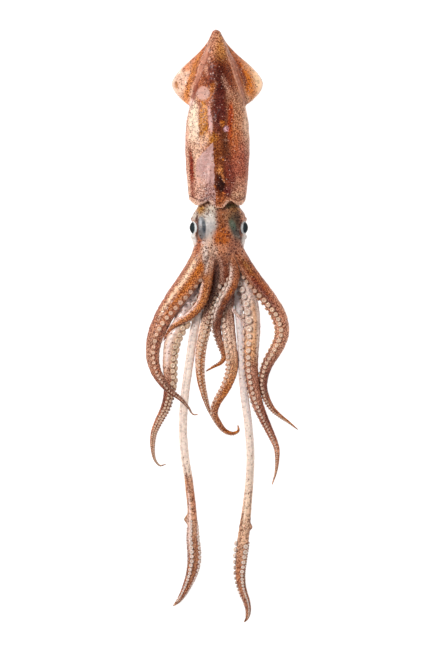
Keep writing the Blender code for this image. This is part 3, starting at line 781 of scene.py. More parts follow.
def limb_colours(track, shares, turns):
    """The colour of a limb's back at shares of its length and turns from straight up, with its streaks
    of painted highlight and painted shade.
    """
    at = np.array([share for share, _ in track.limb.tones])
    tones = linear([tone for _, tone in track.limb.tones])
    colour = np.stack([np.interp(shares, at, c) for c in tones.T], axis=-1)
    for degrees, spread, first, last, streak, strength in track.limb.streaks:
        near = bump(wrapped(turns - math.radians(degrees)), 0.0, math.radians(spread))
        fade = smooth_step((shares - first) / 0.07) * smooth_step((last - shares) / 0.07)
        colour = colour + (linear(streak) - colour) * (near * fade * strength)[..., None]
    return colour


def oral_share(track, shares, turns):
    """1 on the side of a limb with the suckers, and 0 on its back."""
    away = np.abs(wrapped(turns - track.at("face", shares)))
    reach = BORDER_TURN if track.limb.name not in TENTACLES else 1.0
    return smooth_step((reach + 0.12 - away) / 0.3)


def clear_share(track, shares):
    """Where a limb has few of the brown colour cells."""
    last, strength = CLEAR.get(track.limb.name, (0.0, 0.0))
    return strength * smooth_step((last - shares) / 0.05)


def border_share(track, shares, turns):
    away = np.abs(wrapped(turns - track.at("face", shares)))
    return bump(away, 1.32, 0.17)


def build_limb(track, material):
    """The free part of an arm or a tentacle, from where it leaves the crown to its tip."""
    sides = 40
    count = int(track.length / (0.95))
    start = (STUB_LENGTH - STUB_FADE) / track.length
    shares = start + (1.0 - start) * np.linspace(0, 1, count) ** 0.93
    turns = around(sides, -math.pi)
    rise = smooth_step((shares * track.length - STUB_LENGTH + STUB_FADE) / STUB_FADE)
    rings = limb_rings(track, shares, turns, 0.955 + 0.045 * rise)
    flat = rings.reshape(-1, 3)
    ring_shares, ring_turns = np.repeat(shares, sides), np.tile(turns, count)
    width = track.at("width", ring_shares)
    centre = track.at("middle", ring_shares)
    outward = (flat - centre) / np.maximum(np.linalg.norm(flat - centre, axis=1), 0.01)[:, None]
    flat = above_table(flat + outward * (width * ripples(flat, LIMB_RIPPLES))[:, None])
    points, faces = tube(
        flat.reshape(count, sides, 3), track.at("middle", start), track.middle[-1]
    )
    all_shares = np.concatenate([ring_shares, [start, 1.0]])
    all_turns = np.concatenate([ring_turns, [0.0, 0.0]])
    values = {
        "tone": limb_colours(track, all_shares, all_turns),
        "oral": oral_share(track, all_shares, all_turns),
        "border": border_share(track, all_shares, all_turns),
        "clear": clear_share(track, all_shares),
        "limb": 1.0,
    }
    return piece_of(track.limb.name, points, faces, values, material, "arm_skin")


# ---------------------------------------------------------------- suckers

# A sucker's outline, from inside the arm out over its rim and down into its cup: (radius, height)
SUCKER = (
    (0.6, -0.4), (0.7, 0.0), (0.93, 0.26), (1.0, 0.52), (0.93, 0.78), (0.74, 0.93), (0.52, 0.92),
    (0.36, 0.74), (0.0, 0.62),
)
# For the colours, how far inside the cup each of those points is
SUCKER_CUP = (0.0, 0.0, 0.0, 0.0, 0.2, 0.4, 0.6, 1.0, 1.0)
# How far the suckers take the colour of the arm towards its root and its tip
ROOT_FADE, TIP_FADE = 0.85, 0.45
# The share where each row of a club's suckers starts
CLUB_STARTS = {
    "tentacle_left": (0.75, 0.765, 0.75, 0.77), "tentacle_right": (0.785, 0.79, 0.78, 0.8),
}
SUCKERS_SPREAD = 0.12  # how far the biggest suckers spread along a club
SUCKERS_START, SUCKERS_END = 0.1, 0.985  # shares of an arm's length
COVERED_LENGTH = 0.55 * STUB_LENGTH  # the crown hides the suckers nearer the head than this
SMALLEST_SUCKER = 0.16


def sucker_cup(sides):
    """Unit points, faces and cup values of one sucker that opens upwards."""
    turns = around(sides)
    rings = [points_at(radius * np.cos(turns), radius * np.sin(turns), z) for radius, z in SUCKER[:-1]]
    points = np.concatenate([*rings, [(0.0, 0.0, SUCKER[-1][1])]])
    faces = grid_faces(len(rings), sides)
    last, middle = len(points) - 1 - sides, len(points) - 1
    faces.extend([[last + j, last + (j + 1) % sides, middle] for j in range(sides)])
    return points, faces, np.concatenate([np.repeat(SUCKER_CUP[:-1], sides), SUCKER_CUP[-1:]])


def place_suckers(track, shares, offset, radii, rng):
    """Places and frames for one row of suckers: (place, outward, along, radius, share)."""
    turn = track.at("face", shares) + offset
    width = track.at("width", shares)
    out = np.array([section(track, s[None], t[None])[0, 0] for s, t in zip(shares, turn)])
    middle, right, up, along = (track.at(n, shares) for n in ("middle", "right", "up", "along"))
    sin, cos = np.sin(turn)[:, None], np.cos(turn)[:, None]
    reach = (out * width / 2)[:, None]
    place = middle + right * sin * reach + up * cos * reach * ROUNDNESS
    outward = unit(right * sin + up * cos / ROUNDNESS)
    outward = unit(outward + rng.normal(scale=0.1, size=outward.shape))
    return list(zip(place, outward, along, radii, shares))


def limb_suckers(track, rng):
    """All the suckers of one limb, row by row from its root to its tip."""
    limb, found = track.limb, []
    on_club = limb.name in TENTACLES
    for row, (degrees, scale) in enumerate(limb.beads.rows):
        run = (CLUB_STARTS[limb.name][row] if on_club else SUCKERS_START) * track.length
        if not on_club and row % 2:
            run += pitch_at(limb, SUCKERS_START, track.at("width", SUCKERS_START)) / 2
        shares, radii = [], []
        while run < SUCKERS_END * track.length:
            share = np.interp(run, track.run, track.fine)
            width = track.at("width", share)
            size = scale * width * bead_size(limb, share)
            if on_club:
                size *= 0.5 + 0.5 * bump(share, CLUBS[limb.name][3], SUCKERS_SPREAD)
            shares.append(share)
            radii.append(size / 2 * rng.uniform(0.9, 1.08) + 0.12)
            run += max(size * limb.beads.step, 1.0) if on_club else pitch_at(limb, share, width)
        offset = math.radians(degrees)
        found += place_suckers(track, np.array(shares), offset, np.array(radii), rng)
    return found


def build_suckers(name, tracks, rng, material):
    shape, faces, cup = sucker_cup(12)
    parts, cups, tones = [], [], []
    for track in tracks:
        for place, outward, along, radius, share in limb_suckers(track, rng):
            if share * track.length < COVERED_LENGTH or radius < SMALLEST_SUCKER:
                continue
            side = np.cross(outward, along)
            side /= np.linalg.norm(side)
            basis = np.stack([np.cross(side, outward), side, outward])
            parts.append((above_table(place + (shape * radius) @ basis), faces))
            cups.append(cup)
            at = np.array([share])
            skin = limb_colours(track, at, track.at("face", at))[0]
            tone = linear(track.limb.beads.colour)
            if track.limb.name not in TENTACLES:
                fade = TIP_FADE * smooth_step((share - 0.5) / 0.3)
                fade += ROOT_FADE * smooth_step((0.38 - share) / 0.14)
                tone = tone + (skin - tone) * fade
            tone = tone * rng.uniform(0.78, 1.1)
            tones.append(np.tile(tone, (len(cup), 1)))
    values = {"cup": np.concatenate(cups), "tone": np.concatenate(tones)}
    return piece_of(name, *joined(parts), values, material, "arm_skin")


# ---------------------------------------------------------------- the crown


def head_tube():
    turns = around(96)
    start, end = HEAD_SLOPE
    rings = []
    for y, half, height in smooth_line(HEAD_STATIONS, np.linspace(0, 1, 70)):
        base = HEAD_LIFT * smooth_step((y - end) / (start - end))
        x, z = oval(turns, HEAD_X, half, height - base, HEAD_SINK, base)
        rings.append(points_at(x, y, z))
    first, last = HEAD_STATIONS[0], HEAD_STATIONS[-1]
    back, front = (HEAD_X, first[0] + 0.4, first[2] / 2), (HEAD_X, last[0] - 1.5, last[2] / 2)
    return tube(np.array(rings), back, front)


def funnel_tube():
    """The siphon under the head, with its open mouth towards the arms."""
    turns = around(40)
    start, end = np.array(FUNNEL_START), np.array(FUNNEL_END)
    rings = []
    for t in np.linspace(0, 1, 24):
        y, half, height = start + (end - start) * t
        x, z = oval(turns, HEAD_X, half, height, FUNNEL_SINK, FUNNEL_BACK_LIFT * (1 - t) ** 2)
        rings.append(points_at(x, y, z))
    lip = rings[-1]
    centre = lip.mean(axis=0)
    shrink = (1.0 - FUNNEL_WALL / end[1], 1.0, 1.0 - 2 * FUNNEL_WALL / end[2])
    for depth in (0.0, FUNNEL_MOUTH_DEPTH):
        rings.append(centre + (lip - centre) * shrink + (0.0, depth, 0.0))
    back = (HEAD_X, start[0], start[2] / 2 + FUNNEL_BACK_LIFT)
    return tube(np.array(rings), back, (HEAD_X, end[0] + FUNNEL_MOUTH_DEPTH, centre[2]))


def mouth_mass():
    middle, half = (np.array(row) for row in MOUTH_MASS)
    turns = around(40)
    rings = []
    for tilt in np.linspace(0, math.pi, 22)[1:-1]:
        sin, cos = math.sin(tilt), math.cos(tilt)
        rings.append(middle + points_at(sin * np.sin(turns), cos, sin * np.cos(turns)) * half)
    return tube(np.array(rings), middle + (0, half[1], 0), middle - (0, half[1], 0))


def stub(track):
    """The root of a limb, which thins out just inside the free part's surface."""
    turns = around(40, -math.pi)
    shares = np.linspace(0.0, (STUB_LENGTH + 1.0) / track.length, 60)
    past = smooth_step((shares * track.length - STUB_LENGTH + STUB_FADE) / STUB_FADE)
    rings = limb_rings(track, shares, turns, 1.02 - 0.09 * past)
    return tube(rings, rings[0].mean(axis=0), rings[-1].mean(axis=0))


def eye_axes(side):
    """The middle of an eye and the way it looks."""
    centre = np.array(EYE_CENTRE) * (side, 1, 1) + (HEAD_X, 0, 0)
    return centre, np.array([side * math.cos(EYE_LOOK), 0.0, math.sin(EYE_LOOK)])


def open_lids(points):
    """Sinks the skin behind each eyeball and raises a lid round it, hung over it from above."""
    for side in (-1, 1):
        centre, _ = eye_axes(side)
        look = np.array([side * math.cos(LID_LOOK), -0.06, math.sin(LID_LOOK)])
        look /= np.linalg.norm(look)
        offset = points - centre
        depth = offset @ look
        reach = np.linalg.norm(offset - depth[:, None] * look, axis=1)
        front = depth > 0.0
        distance = np.linalg.norm(offset, axis=1)
        outward = offset / np.maximum(distance, 0.01)[:, None]
        lid = LID_RISE * bump(reach, LID_REACH + LID_SPREAD, LID_SPREAD) * front
        rim = smooth_step((reach - LID_REACH) / LID_EDGE)
        wanted = np.maximum(distance, EYE_RADIUS + EYE_GAP) + lid
        sunk = EYE_RADIUS - EYE_SINK
        target = sunk + (wanted - sunk) * rim
        near = front & (reach < LID_REACH + 5.0)
        points = np.where(near[:, None], centre + outward * target[:, None], points)
    return points


def nearest_limb(points, tracks):
    """For each point, the limb whose surface is nearest: (index, share, turn, distance in radii),
    and how much further away the next one is."""
    best, second = np.full(len(points), 1e9), np.full(len(points), 1e9)
    index, share, turn = np.zeros(len(points), int), np.zeros(len(points)), np.zeros(len(points))
    for k, track in enumerate(tracks):
        shares = np.linspace(0.0, (STUB_LENGTH + 4.0) / track.length, 48)
        middle, width = track.at("middle", shares), track.at("width", shares)
        gap = np.linalg.norm(points[:, None, :] - middle[None], axis=2) / (width / 2)
        i = gap.argmin(axis=1)
        distance = gap[np.arange(len(points)), i]
        offset = points - middle[i]
        right, up = track.at("right", shares)[i], track.at("up", shares)[i]
        angle = np.arctan2((offset * right).sum(1), (offset * up).sum(1) / ROUNDNESS)
        closer = distance < best
        second = np.where(closer, best, np.minimum(second, distance))
        best = np.where(closer, distance, best)
        index, share = np.where(closer, k, index), np.where(closer, shares[i], share)
        turn = np.where(closer, angle, turn)
    return index, share, turn, best, second - best


def build_crown(tracks, material):
    """The head, the funnel and the roots of all the limbs, grown together."""
    parts = [head_tube(), funnel_tube(), mouth_mass()] + [stub(track) for track in tracks]
    crown = melted("crown", parts, VOXEL)
    edges = edges_of(crown)
    points = points_of(crown)
    y = points[:, 1]
    joins = bump(y, MELT_Y, MELT_SPREAD)
    points = relax(points, edges, 10, keep=True)
    points = relax(points, edges, 14, 0.5 * joins * smooth_step((points[:, 2] - 2.0) / 4.0))
    points = above_table(open_lids(points))
    set_points(crown, points)
    folds = ripples(points, CROWN_RIPPLES)
    index, share, turn, distance, lead = nearest_limb(points, tracks)
    lengths = np.array([track.length for track in tracks])
    groove = bump(lead, 0.0, GROOVE_SPREAD) * smooth_step((ROOTS_Y - y) / 8.0)
    groove *= smooth_step((share * lengths[index] - 5.0) / 9.0)
    groove *= smooth_step((y - GROOVE_END_Y) / 10.0)
    groove *= smooth_step((points[:, 2] - 4.0) / 4.0)
    groove = relax(groove[:, None], edges, 3)[:, 0]
    points = above_table(points + normals_of(crown) * (folds - GROOVE_DEPTH * groove)[:, None])
    set_points(crown, points)

    values = np.zeros((len(points), 7))  # the colour in three columns, oral, border, clear, limb
    for k, track in enumerate(tracks):
        own = index == k
        values[own, :3] = limb_colours(track, share[own], turn[own])
        values[own, 3] = oral_share(track, share[own], turn[own])
        values[own, 4] = border_share(track, share[own], turn[own])
        values[own, 5] = clear_share(track, share[own])
    values[:, 6] = smooth_step((ROOTS_Y - points[:, 1]) / 16.0) * smooth_step((1.9 - distance) / 0.5)
    values = relax(values, edges, 6)
    oral, border, clear, limb = values[:, 3:].T
    set_values(crown, "tone", values[:, :3])
    set_values(crown, "oral", oral * smooth_step((limb - 0.3) / 0.5))
    set_values(crown, "border", border * limb)
    set_values(crown, "clear", clear * limb)
    set_values(crown, "limb", limb)
    # The groove both sinks the skin and, in the material, darkens it as painted shade.
    set_values(crown, "groove", groove)
    return dress(crown, material, "arm_skin", "head")


def build_web(material):
    """The loose strand of web between two arms, as a thin ribbon."""
    sides, count = 24, 40
    shares = np.linspace(0, 1, count)
    line = smooth_line(WEB_STRAND, shares)
    half = WEB_WIDTH / 2 * (1.0 - 0.35 * np.sin(math.pi * shares))
    turns = around(sides)
    along = np.gradient(line, axis=0)
    right = unit(np.cross((0, 0, 1.0), along))
    centre = line + (0, 0, ROUNDNESS * WEB_WIDTH / 2)
    rings = centre[:, None] + right[:, None] * (half[:, None] * np.sin(turns))[..., None]
    rings[..., 2] += half[:, None] * 0.5 * np.cos(turns)
    points, faces = tube(rings, centre[0], centre[-1])
    tone = np.tile(linear(WEB_COLOUR), (len(points), 1))
    values = {"tone": tone, "oral": 0.0, "border": 0.0, "limb": 1.0}
    return piece_of("web_strand", points, faces, values, material, "arm_skin")


def build_eye(side, word, material):
    """An eyeball with a bulging front, its pupil and iris told by the angle from its axis."""
    sides, steps = ((64, 48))
    centre, look = eye_axes(side)
    frame_look = np.array(Matrix.Rotation(side * (math.pi / 2 - EYE_LOOK), 3, "Y"))
    tilts = np.linspace(0, math.pi, steps + 2)[1:-1]
    turns = around(sides)
    off_axis = EYE_RADIUS * np.sin(tilts)
    swell = CORNEA_RISE * np.clip(1.0 - (off_axis / CORNEA_RADIUS) ** 2, 0.0, 1.0)
    radius = EYE_RADIUS + np.where(tilts < math.pi / 2, swell, 0.0)
    sin, cos = np.sin(tilts)[:, None], np.cos(tilts)[:, None]
    local = radius[:, None, None] * points_at(sin * np.cos(turns), sin * np.sin(turns), cos)
    rings = centre + local @ frame_look.T
    front, rear = centre + look * (EYE_RADIUS + CORNEA_RISE), centre - look * EYE_RADIUS
    points, faces = tube(rings, front, rear)
    back, up = PUPIL_TURN
    aim = look + np.array([0.0, back, up])
    aim /= np.linalg.norm(aim)
    tilt = np.degrees(np.arccos(np.clip(unit(points - centre) @ aim, -1, 1)))
    name = "eyeball_" + word
    return piece_of(name, points, faces, {"tilt": tilt}, material, "eye", "eye_" + word)


# ---------------------------------------------------------------- materials


class Shade:
    """A new material with a Principled shader, and short calls that add nodes to it."""

    def __init__(self, name, **settings):
        self.material = bpy.data.materials.new(name)
        self.material.use_nodes = True
        self.nodes = self.material.node_tree.nodes
        self.links = self.material.node_tree.links
        self.shader = self.nodes["Principled BSDF"]
        for socket, value in settings.items():
            self.shader.inputs[socket.replace("_", " ")].default_value = value
        where = self.add("ShaderNodeTexCoord").outputs["Object"]
        self.where = self.vector("SCALE", where, scale=1 / MM)

    def add(self, kind, inputs=None, **settings):
        node = self.nodes.new(kind)
        for name, value in settings.items():
            setattr(node, name, value)
        for name, value in (inputs or {}).items():
            self.feed(node.inputs[name], value)
        return node

    def feed(self, socket, value):
        if isinstance(value, bpy.types.NodeSocket):
            self.links.new(value, socket)
        elif value is not None:
            socket.default_value = value

    def set(self, name, value):
        self.feed(self.shader.inputs[name], value)

    def math(self, operation, a, b=None, c=None):
        node = self.add("ShaderNodeMath", operation=operation)
        for socket, value in zip(node.inputs, (a, b, c)):
            self.feed(socket, value)
        return node.outputs[0]

    def times(self, a, b):
        return self.math("MULTIPLY", a, b)

    def minus(self, a, b):
        return self.math("SUBTRACT", a, b)

    def most(self, a, b):
        return self.math("MAXIMUM", a, b)

    def vector(self, operation, a, b=None, scale=None):
        node = self.add("ShaderNodeVectorMath", operation=operation)
        self.feed(node.inputs[0], a)
        self.feed(node.inputs[1], b)
        if scale is not None:
            self.feed(node.inputs["Scale"], scale)
        return node.outputs["Value" if operation == "LENGTH" else "Vector"]

    def mix(self, share, a, b, blend="MIX"):
        node = self.add("ShaderNodeMix", data_type="RGBA", blend_type=blend)
        self.feed(node.inputs["Factor"], share)
        for socket, value in ((node.inputs[6], a), (node.inputs[7], b)):
            self.feed(socket, rgba(value) if isinstance(value, tuple) and len(value) == 3 else value)
        return node.outputs[2]

    def step(self, value, low, high, to=(0.0, 1.0)):
        """Goes smoothly from one value to the other as value goes from low to high."""
        ends = {"From Min": low, "From Max": high, "To Min": to[0], "To Max": to[1]}
        inputs = {"Value": value, **ends}
        return self.add("ShaderNodeMapRange", inputs, interpolation_type="SMOOTHSTEP").outputs[0]

    def noise(self, size, detail=3.0):
        """A soft noise with features about size across."""
        inputs = {"Vector": self.where, "Scale": 1 / size, "Detail": detail, "Roughness": 0.55}
        return self.add("ShaderNodeTexNoise", inputs).outputs["Fac"]

    def warped(self, size, amount):
        """The place, shifted about by a noise."""
        inputs = {"Vector": self.where, "Scale": 1 / size, "Detail": 3.0}
        node = self.add("ShaderNodeTexNoise", inputs)
        shift = self.vector("SUBTRACT", node.outputs["Color"], (0.5, 0.5, 0.5))
        return self.vector("ADD", self.where, self.vector("SCALE", shift, scale=amount * 2))

    def twice_warped(self, size, amount, fine_size, fine_amount):
        fine = self.vector("SUBTRACT", self.warped(fine_size, fine_amount), self.where)
        return self.vector("ADD", self.warped(size, amount), fine)

    def value(self, name):
        return self.add("ShaderNodeAttribute", attribute_name=name).outputs["Fac"]

    def colour(self, name):
        return self.add("ShaderNodeAttribute", attribute_name=name).outputs["Color"]

    def blob(self, where, x, y, half_x, half_y, degrees, soft):
        """1 inside an oval seen from above, fading over its soft edge."""
        inputs = {
            "Vector": where, "Location": (x, y, 0.0),
            "Rotation": (0.0, 0.0, math.radians(degrees)), "Scale": (half_x, half_y, 1e6),
        }
        node = self.add("ShaderNodeMapping", inputs, vector_type="TEXTURE")
        return self.step(self.vector("LENGTH", node.outputs[0]), 1.0 - soft, 1.0 + soft, (1.0, 0.0))

    def patches(self, where, base, table):
        """Lays soft oval patches of colour on a base, in their order."""
        for x, y, half_x, half_y, degrees, soft, tone, strength in table:
            spot = self.blob(where, x, y, half_x, half_y, degrees, soft)
            base = self.mix(self.times(spot, strength), base, tone)
        return base

    def dots(self, size, density, radius):
        """Round dots about size apart. Density is the share of places that have one."""
        inputs = {"Vector": self.where, "Scale": 1 / size, "Randomness": 1.0}
        node = self.add("ShaderNodeTexVoronoi", inputs)
        rand = self.add("ShaderNodeSeparateColor", {"Color": node.outputs["Color"]})
        reach = self.math("MULTIPLY_ADD", rand.outputs[0], radius * 0.8, radius * 0.6)
        edge = self.minus(reach, node.outputs["Distance"])
        spot = self.step(edge, -0.05, 0.08)
        there = self.step(self.minus(density, rand.outputs[1]), -0.04, 0.04)
        return self.times(spot, there)

    def light(self, colour):
        """How light a colour is, from 0 to 1."""
        grey = self.add("ShaderNodeRGBToBW", {"Color": colour}).outputs[0]
        return self.math("POWER", grey, 1 / 2.2)

    def richer(self, colour, saturation, value):
        inputs = {"Color": colour, "Saturation": saturation, "Value": value}
        return self.add("ShaderNodeHueSaturation", inputs).outputs[0]

    def darker(self, colour, share):
        node = self.add("ShaderNodeCombineColor", {0: share, 1: share, 2: share})
        return self.mix(1.0, colour, node.outputs[0], "MULTIPLY")

    def bumps(self, *layers):
        """Bumps the surface by noises: (size, height), in millimetres."""
        height = 0.0
        for size, depth in layers:
            height = self.math("MULTIPLY_ADD", self.noise(size, 2.0), depth, height)
        node = self.add("ShaderNodeBump", {"Height": height, "Strength": 1.0, "Distance": MM})
        self.set("Normal", node.outputs[0])
        self.set("Coat Normal", node.outputs[0])

    def finished(self, colour, size, least, most, *layers):
        """Gives a skin its colour, its roughness in patches of this size, and its bumps."""
        self.set("Base Color", colour)
        self.set("Roughness", self.step(self.noise(size), 0.3, 0.7, (least, most)))
        self.bumps(*layers)
        return self.material


WET = {
    "Specular_IOR_Level": 0.12, "Coat_Weight": 0.4, "Coat_Roughness": 0.1,
    "Subsurface_Weight": 0.12, "Subsurface_Scale": 0.0016, "Subsurface_Radius": (1.0, 0.45, 0.3),
}

# What the brown grain of the skin and its dark cells leave of the light
RUST = (0.42, 0.24, 0.17, 1.0)
CELL = (0.22, 0.08, 0.045, 1.0)

# The torn place left of the mantle's middle, where the brown skin is gone: the slant of its upper
# left edge, the corner that edge comes down to, and its right edge with the lean of that.
TORN = (0.9, -21.6, -11.4, -4.7, -0.047)
TORN_COLOUR = (178, 141, 135)

# Patches on the mantle's back: x, y, half width, half length, turn, softness, colour, strength.
MANTLE_PATCHES = (
    # broad fields
    (-3, 108, 9, 20, 0, 0.5, (206, 150, 122), 1.0),
    (-3.4, 120, 8, 4, 0, 0.6, (182, 118, 92), 0.8),
    (3.5, 97, 6, 21, -6, 0.7, (200, 142, 90), 0.95),
    (-26, 20, 8, 42, 3, 0.35, (222, 198, 176), 0.97),
    (-24, -22, 12, 34, 0, 0.4, (214, 174, 150), 0.92),
    (22, 20, 13, 36, 0, 0.5, (202, 152, 122), 0.95),
    (29, 12, 4, 58, 0, 0.6, (224, 186, 160), 0.8),
    (21, -14, 12, 25, 4, 0.6, (182, 108, 88), 0.95),
    (22, -41, 11, 11, 0, 0.6, (210, 156, 130), 0.9),
    (-32, 5, 2.6, 55, -1, 0.8, (208, 152, 130), 0.7),
    # the dark middle
    (-1, 74, 14, 17, 0, 0.6, (118, 46, 24), 0.97),
    (8, 66, 8, 16, 10, 0.6, (116, 54, 34), 0.8),
    (2.5, 56, 6.5, 28, 2, 0.7, (76, 28, 20), 0.93),
    (1, 34, 8.5, 23, 0, 0.5, (100, 46, 40), 0.95),
    (7, 0, 5.5, 24, 0, 0.6, (100, 54, 34), 0.93),
    (-2.5, -4, 5, 16, 0, 0.6, (132, 76, 44), 0.9),
    (2.5, -34, 8, 17, 0, 0.6, (84, 32, 16), 0.96),
    (12, -26, 5, 16, 10, 0.6, (124, 60, 50), 0.85),
    (3.5, -34, 3.4, 9, 0, 0.6, (44, 14, 8), 0.9),
    (0, -52, 12, 6, 0, 0.6, (172, 104, 70), 0.85),
    (10, -42, 3.5, 5, 0, 0.6, (112, 46, 52), 0.8),
    # orange streaks
    (-14.6, 27, 4.2, 22, 0, 0.3, (196, 130, 62), 1.0),
    (-9.5, 9, 4.2, 7, 38, 0.4, (186, 122, 64), 0.95),
    (-8.5, 57, 3.4, 10, -32, 0.6, (190, 118, 62), 0.85),
    (12.5, 27, 2.6, 20, -2, 0.5, (176, 68, 26), 0.95),
    (17, 12, 5, 20, 0, 0.7, (196, 112, 60), 0.5),
    (-6.5, 11, 5.5, 5, 0, 0.5, (186, 122, 56), 0.95),
    (-25.8, -27, 2.4, 28, 4, 0.4, (138, 46, 20), 1.0),
    # pale and lilac patches
    (-15.4, 55.5, 6.6, 6.8, 0, 0.2, (186, 146, 134), 0.97),
    (-7.6, 28, 1.7, 14, 4, 0.5, (206, 166, 160), 0.85),
    (-14, 8, 5, 8, -20, 0.4, (220, 176, 148), 0.8),
    (8.5, 62, 2.6, 10, 18, 0.7, (206, 158, 136), 0.65),
    (15, 52, 6, 7, 0, 0.7, (196, 148, 120), 0.65),
    (8.2, 19.5, 2.4, 2.8, 0, 0.5, (222, 180, 190), 0.9),
    (4.2, 25, 2.4, 2.8, 0, 0.5, (200, 120, 54), 0.9),
    # painted highlights: pale dashes for the wet glints left of the dark middle
    (-8.6, 99, 1.8, 2.8, 10, 0.5, (232, 194, 176), 0.9),
    (-9.6, 90, 2, 3.4, 10, 0.5, (224, 178, 156), 0.8),
    (-12.4, 79, 1.8, 5.5, 8, 0.6, (214, 164, 140), 0.7),
    (1.8, -21.5, 2.6, 3.6, 0, 0.6, (216, 150, 98), 0.92),
    (5, -28, 1.7, 5.5, 24, 0.6, (196, 128, 86), 0.85),
    (5, -11, 1.4, 1.2, 0, 0.5, (206, 120, 54), 0.9),
    (-3.6, -37, 1.3, 2.2, 20, 0.4, (212, 124, 44), 0.95),
    (6, -44, 2, 1.2, 10, 0.5, (206, 128, 84), 0.8),
    (20, -46, 6, 4, 0, 0.7, (212, 170, 140), 0.7),
)

# Laid over the torn place
TORN_PATCHES = (
    (-19, -40, 6.5, 13, 0, 0.6, (214, 170, 150), 0.8),
    (-9, -20, 1.2, 12, -6, 0.7, (214, 178, 170), 0.6),
    (-15, -24, 1.2, 9, -10, 0.7, (170, 128, 124), 0.6),
)

# Where the brown skin is thin: x, y, half width, half length, turn, softness.
BARE_PATCHES = (
    (-15.4, 55.5, 6.6, 6.8, 0, 0.2),
    (-18.6, 74, 3.0, 34, -18.5, 0.4),
    (17.8, 76, 3.2, 34, 18.5, 0.4),
    (-7.6, 28, 1.9, 14, 4, 0.5),
)

# The fins: orange along the crease and pale out to the edge.
FIN_PATCHES = (
    (-38, 64, 12, 24, -14, 0.5, (222, 182, 160), 1.0),
    (-27.5, 66, 4.2, 27, -18, 0.6, (206, 134, 78), 0.92),
    (-41.8, 65.3, 1.7, 3.6, 0, 0.6, (164, 100, 44), 0.75),
    (-33, 84, 7, 4, -38, 0.6, (204, 122, 72), 0.7),
    (39, 66, 12, 24, 14, 0.5, (228, 186, 150), 1.0),
    (29, 68, 6, 17, 18, 0.6, (210, 124, 62), 0.95),
    (23, 78, 3.2, 14, 22, 0.6, (140, 66, 40), 0.85),
    (31, 85, 6, 3, 38, 0.7, (212, 158, 128), 0.7),
    (41, 70, 2.8, 7, 0, 0.6, (234, 200, 166), 0.75),
)

# The smooth bands where the fins are rooted.
BAND_PATCHES = (
    (-18.8, 74, 2.3, 34, -18.5, 0.4, (172, 120, 102), 0.9),
    (-16, 76, 0.8, 33, -18.5, 0.6, (116, 58, 44), 0.8),
    (-20.8, 77, 0.6, 30, -18.5, 0.6, (214, 170, 152), 0.6),
    (-23.5, 56, 2.2, 12, -14, 0.6, (124, 62, 48), 0.75),
    (17.8, 76, 2.6, 34, 18.5, 0.4, (162, 110, 92), 0.92),
    (15.2, 77, 0.7, 30, 18.5, 0.6, (202, 152, 130), 0.7),
    (20.8, 74, 0.8, 30, 18.5, 0.6, (126, 64, 46), 0.7),
    (-27.5, 47, 3.4, 3, 0, 0.6, (232, 196, 186), 0.8),
)

HEAD_PATCHES = (
    (1, -112, 30, 22, 0, 0.5, (200, 145, 118), 1.0),
    (-14, -64, 9, 8, 0, 0.5, (170, 146, 122), 0.9),
    (-15.6, -60.5, 5.4, 3.8, 20, 0.5, (176, 130, 70), 0.9),
    (-7, -70, 8, 14, 0, 0.5, (182, 172, 162), 0.95),
    (-9, -82, 8, 12, 0, 0.6, (160, 154, 152), 0.9),
    (-7, -97, 5, 10, 0, 0.6, (206, 180, 164), 0.85),
    (-14, -104, 6, 12, -20, 0.6, (206, 166, 144), 0.7),
    (-19, -94, 2.6, 12, -14, 0.6, (164, 96, 70), 0.8),
    (3, -68, 5, 14, 0, 0.45, (146, 94, 68), 0.95),
    (13, -57, 7, 3.4, 0, 0.5, (76, 66, 40), 0.9),
    (16.5, -61, 5, 2.6, 0, 0.6, (150, 106, 56), 0.8),
    (17.5, -66.5, 5, 6, 0, 0.6, (136, 96, 60), 0.7),
    (13, -66, 7, 6, 0, 0.6, (150, 104, 74), 0.85),
    (15, -96, 8, 9, 0, 0.6, (160, 106, 86), 0.9),
    (3.8, -88.5, 8, 10.4, 0, 0.5, (180, 102, 58), 0.95),
    (3.5, -100, 6, 6, 0, 0.6, (200, 144, 116), 0.85),
    (22.4, -78, 1.5, 11, 0, 0.5, (108, 70, 58), 0.85),
    (-25.5, -89, 4, 7, 6, 0.5, (196, 192, 188), 0.9),
    (27.5, -90, 4, 7, -6, 0.5, (192, 184, 178), 0.9),
    (-24, -66, 4, 5, 20, 0.6, (196, 186, 176), 0.8),
    (-6, -58.5, 6, 2.6, 0, 0.6, (206, 194, 178), 0.7),
)

# The clear skin over the eyeballs, with the dark of the eyes showing through, and a painted highlight
# on the left one
WINDOW_PATCHES = (
    (-16.4, -78, 4.4, 11.5, 2, 0.2, (104, 104, 106), 0.97),
    # painted highlight on the left window
    (-17.6, -74, 1.3, 5, 0, 0.5, (160, 162, 166), 0.7),
    (-14, -77, 2.0, 6.5, 4, 0.4, (44, 50, 56), 0.95),
    (-16.6, -86, 1.8, 4, 10, 0.5, (92, 86, 84), 0.8),
    (-20.9, -77, 1.5, 12.5, 0, 0.4, (80, 50, 42), 0.95),
    (16.8, -76, 5.6, 13.5, 12, 0.5, (82, 70, 56), 0.92),
    (17.5, -81, 4.0, 8, 24, 0.5, (60, 54, 48), 0.95),
    (20.0, -74, 2.4, 12.5, 4, 0.5, (72, 50, 38), 0.9),
    (14.2, -75.0, 2.8, 5.2, 24, 0.6, (74, 88, 74), 0.8),
    (20.6, -84, 1.6, 6.5, 18, 0.5, (42, 34, 32), 0.9),
    (22.6, -78, 1.2, 11, 0, 0.5, (108, 70, 58), 0.85),
)
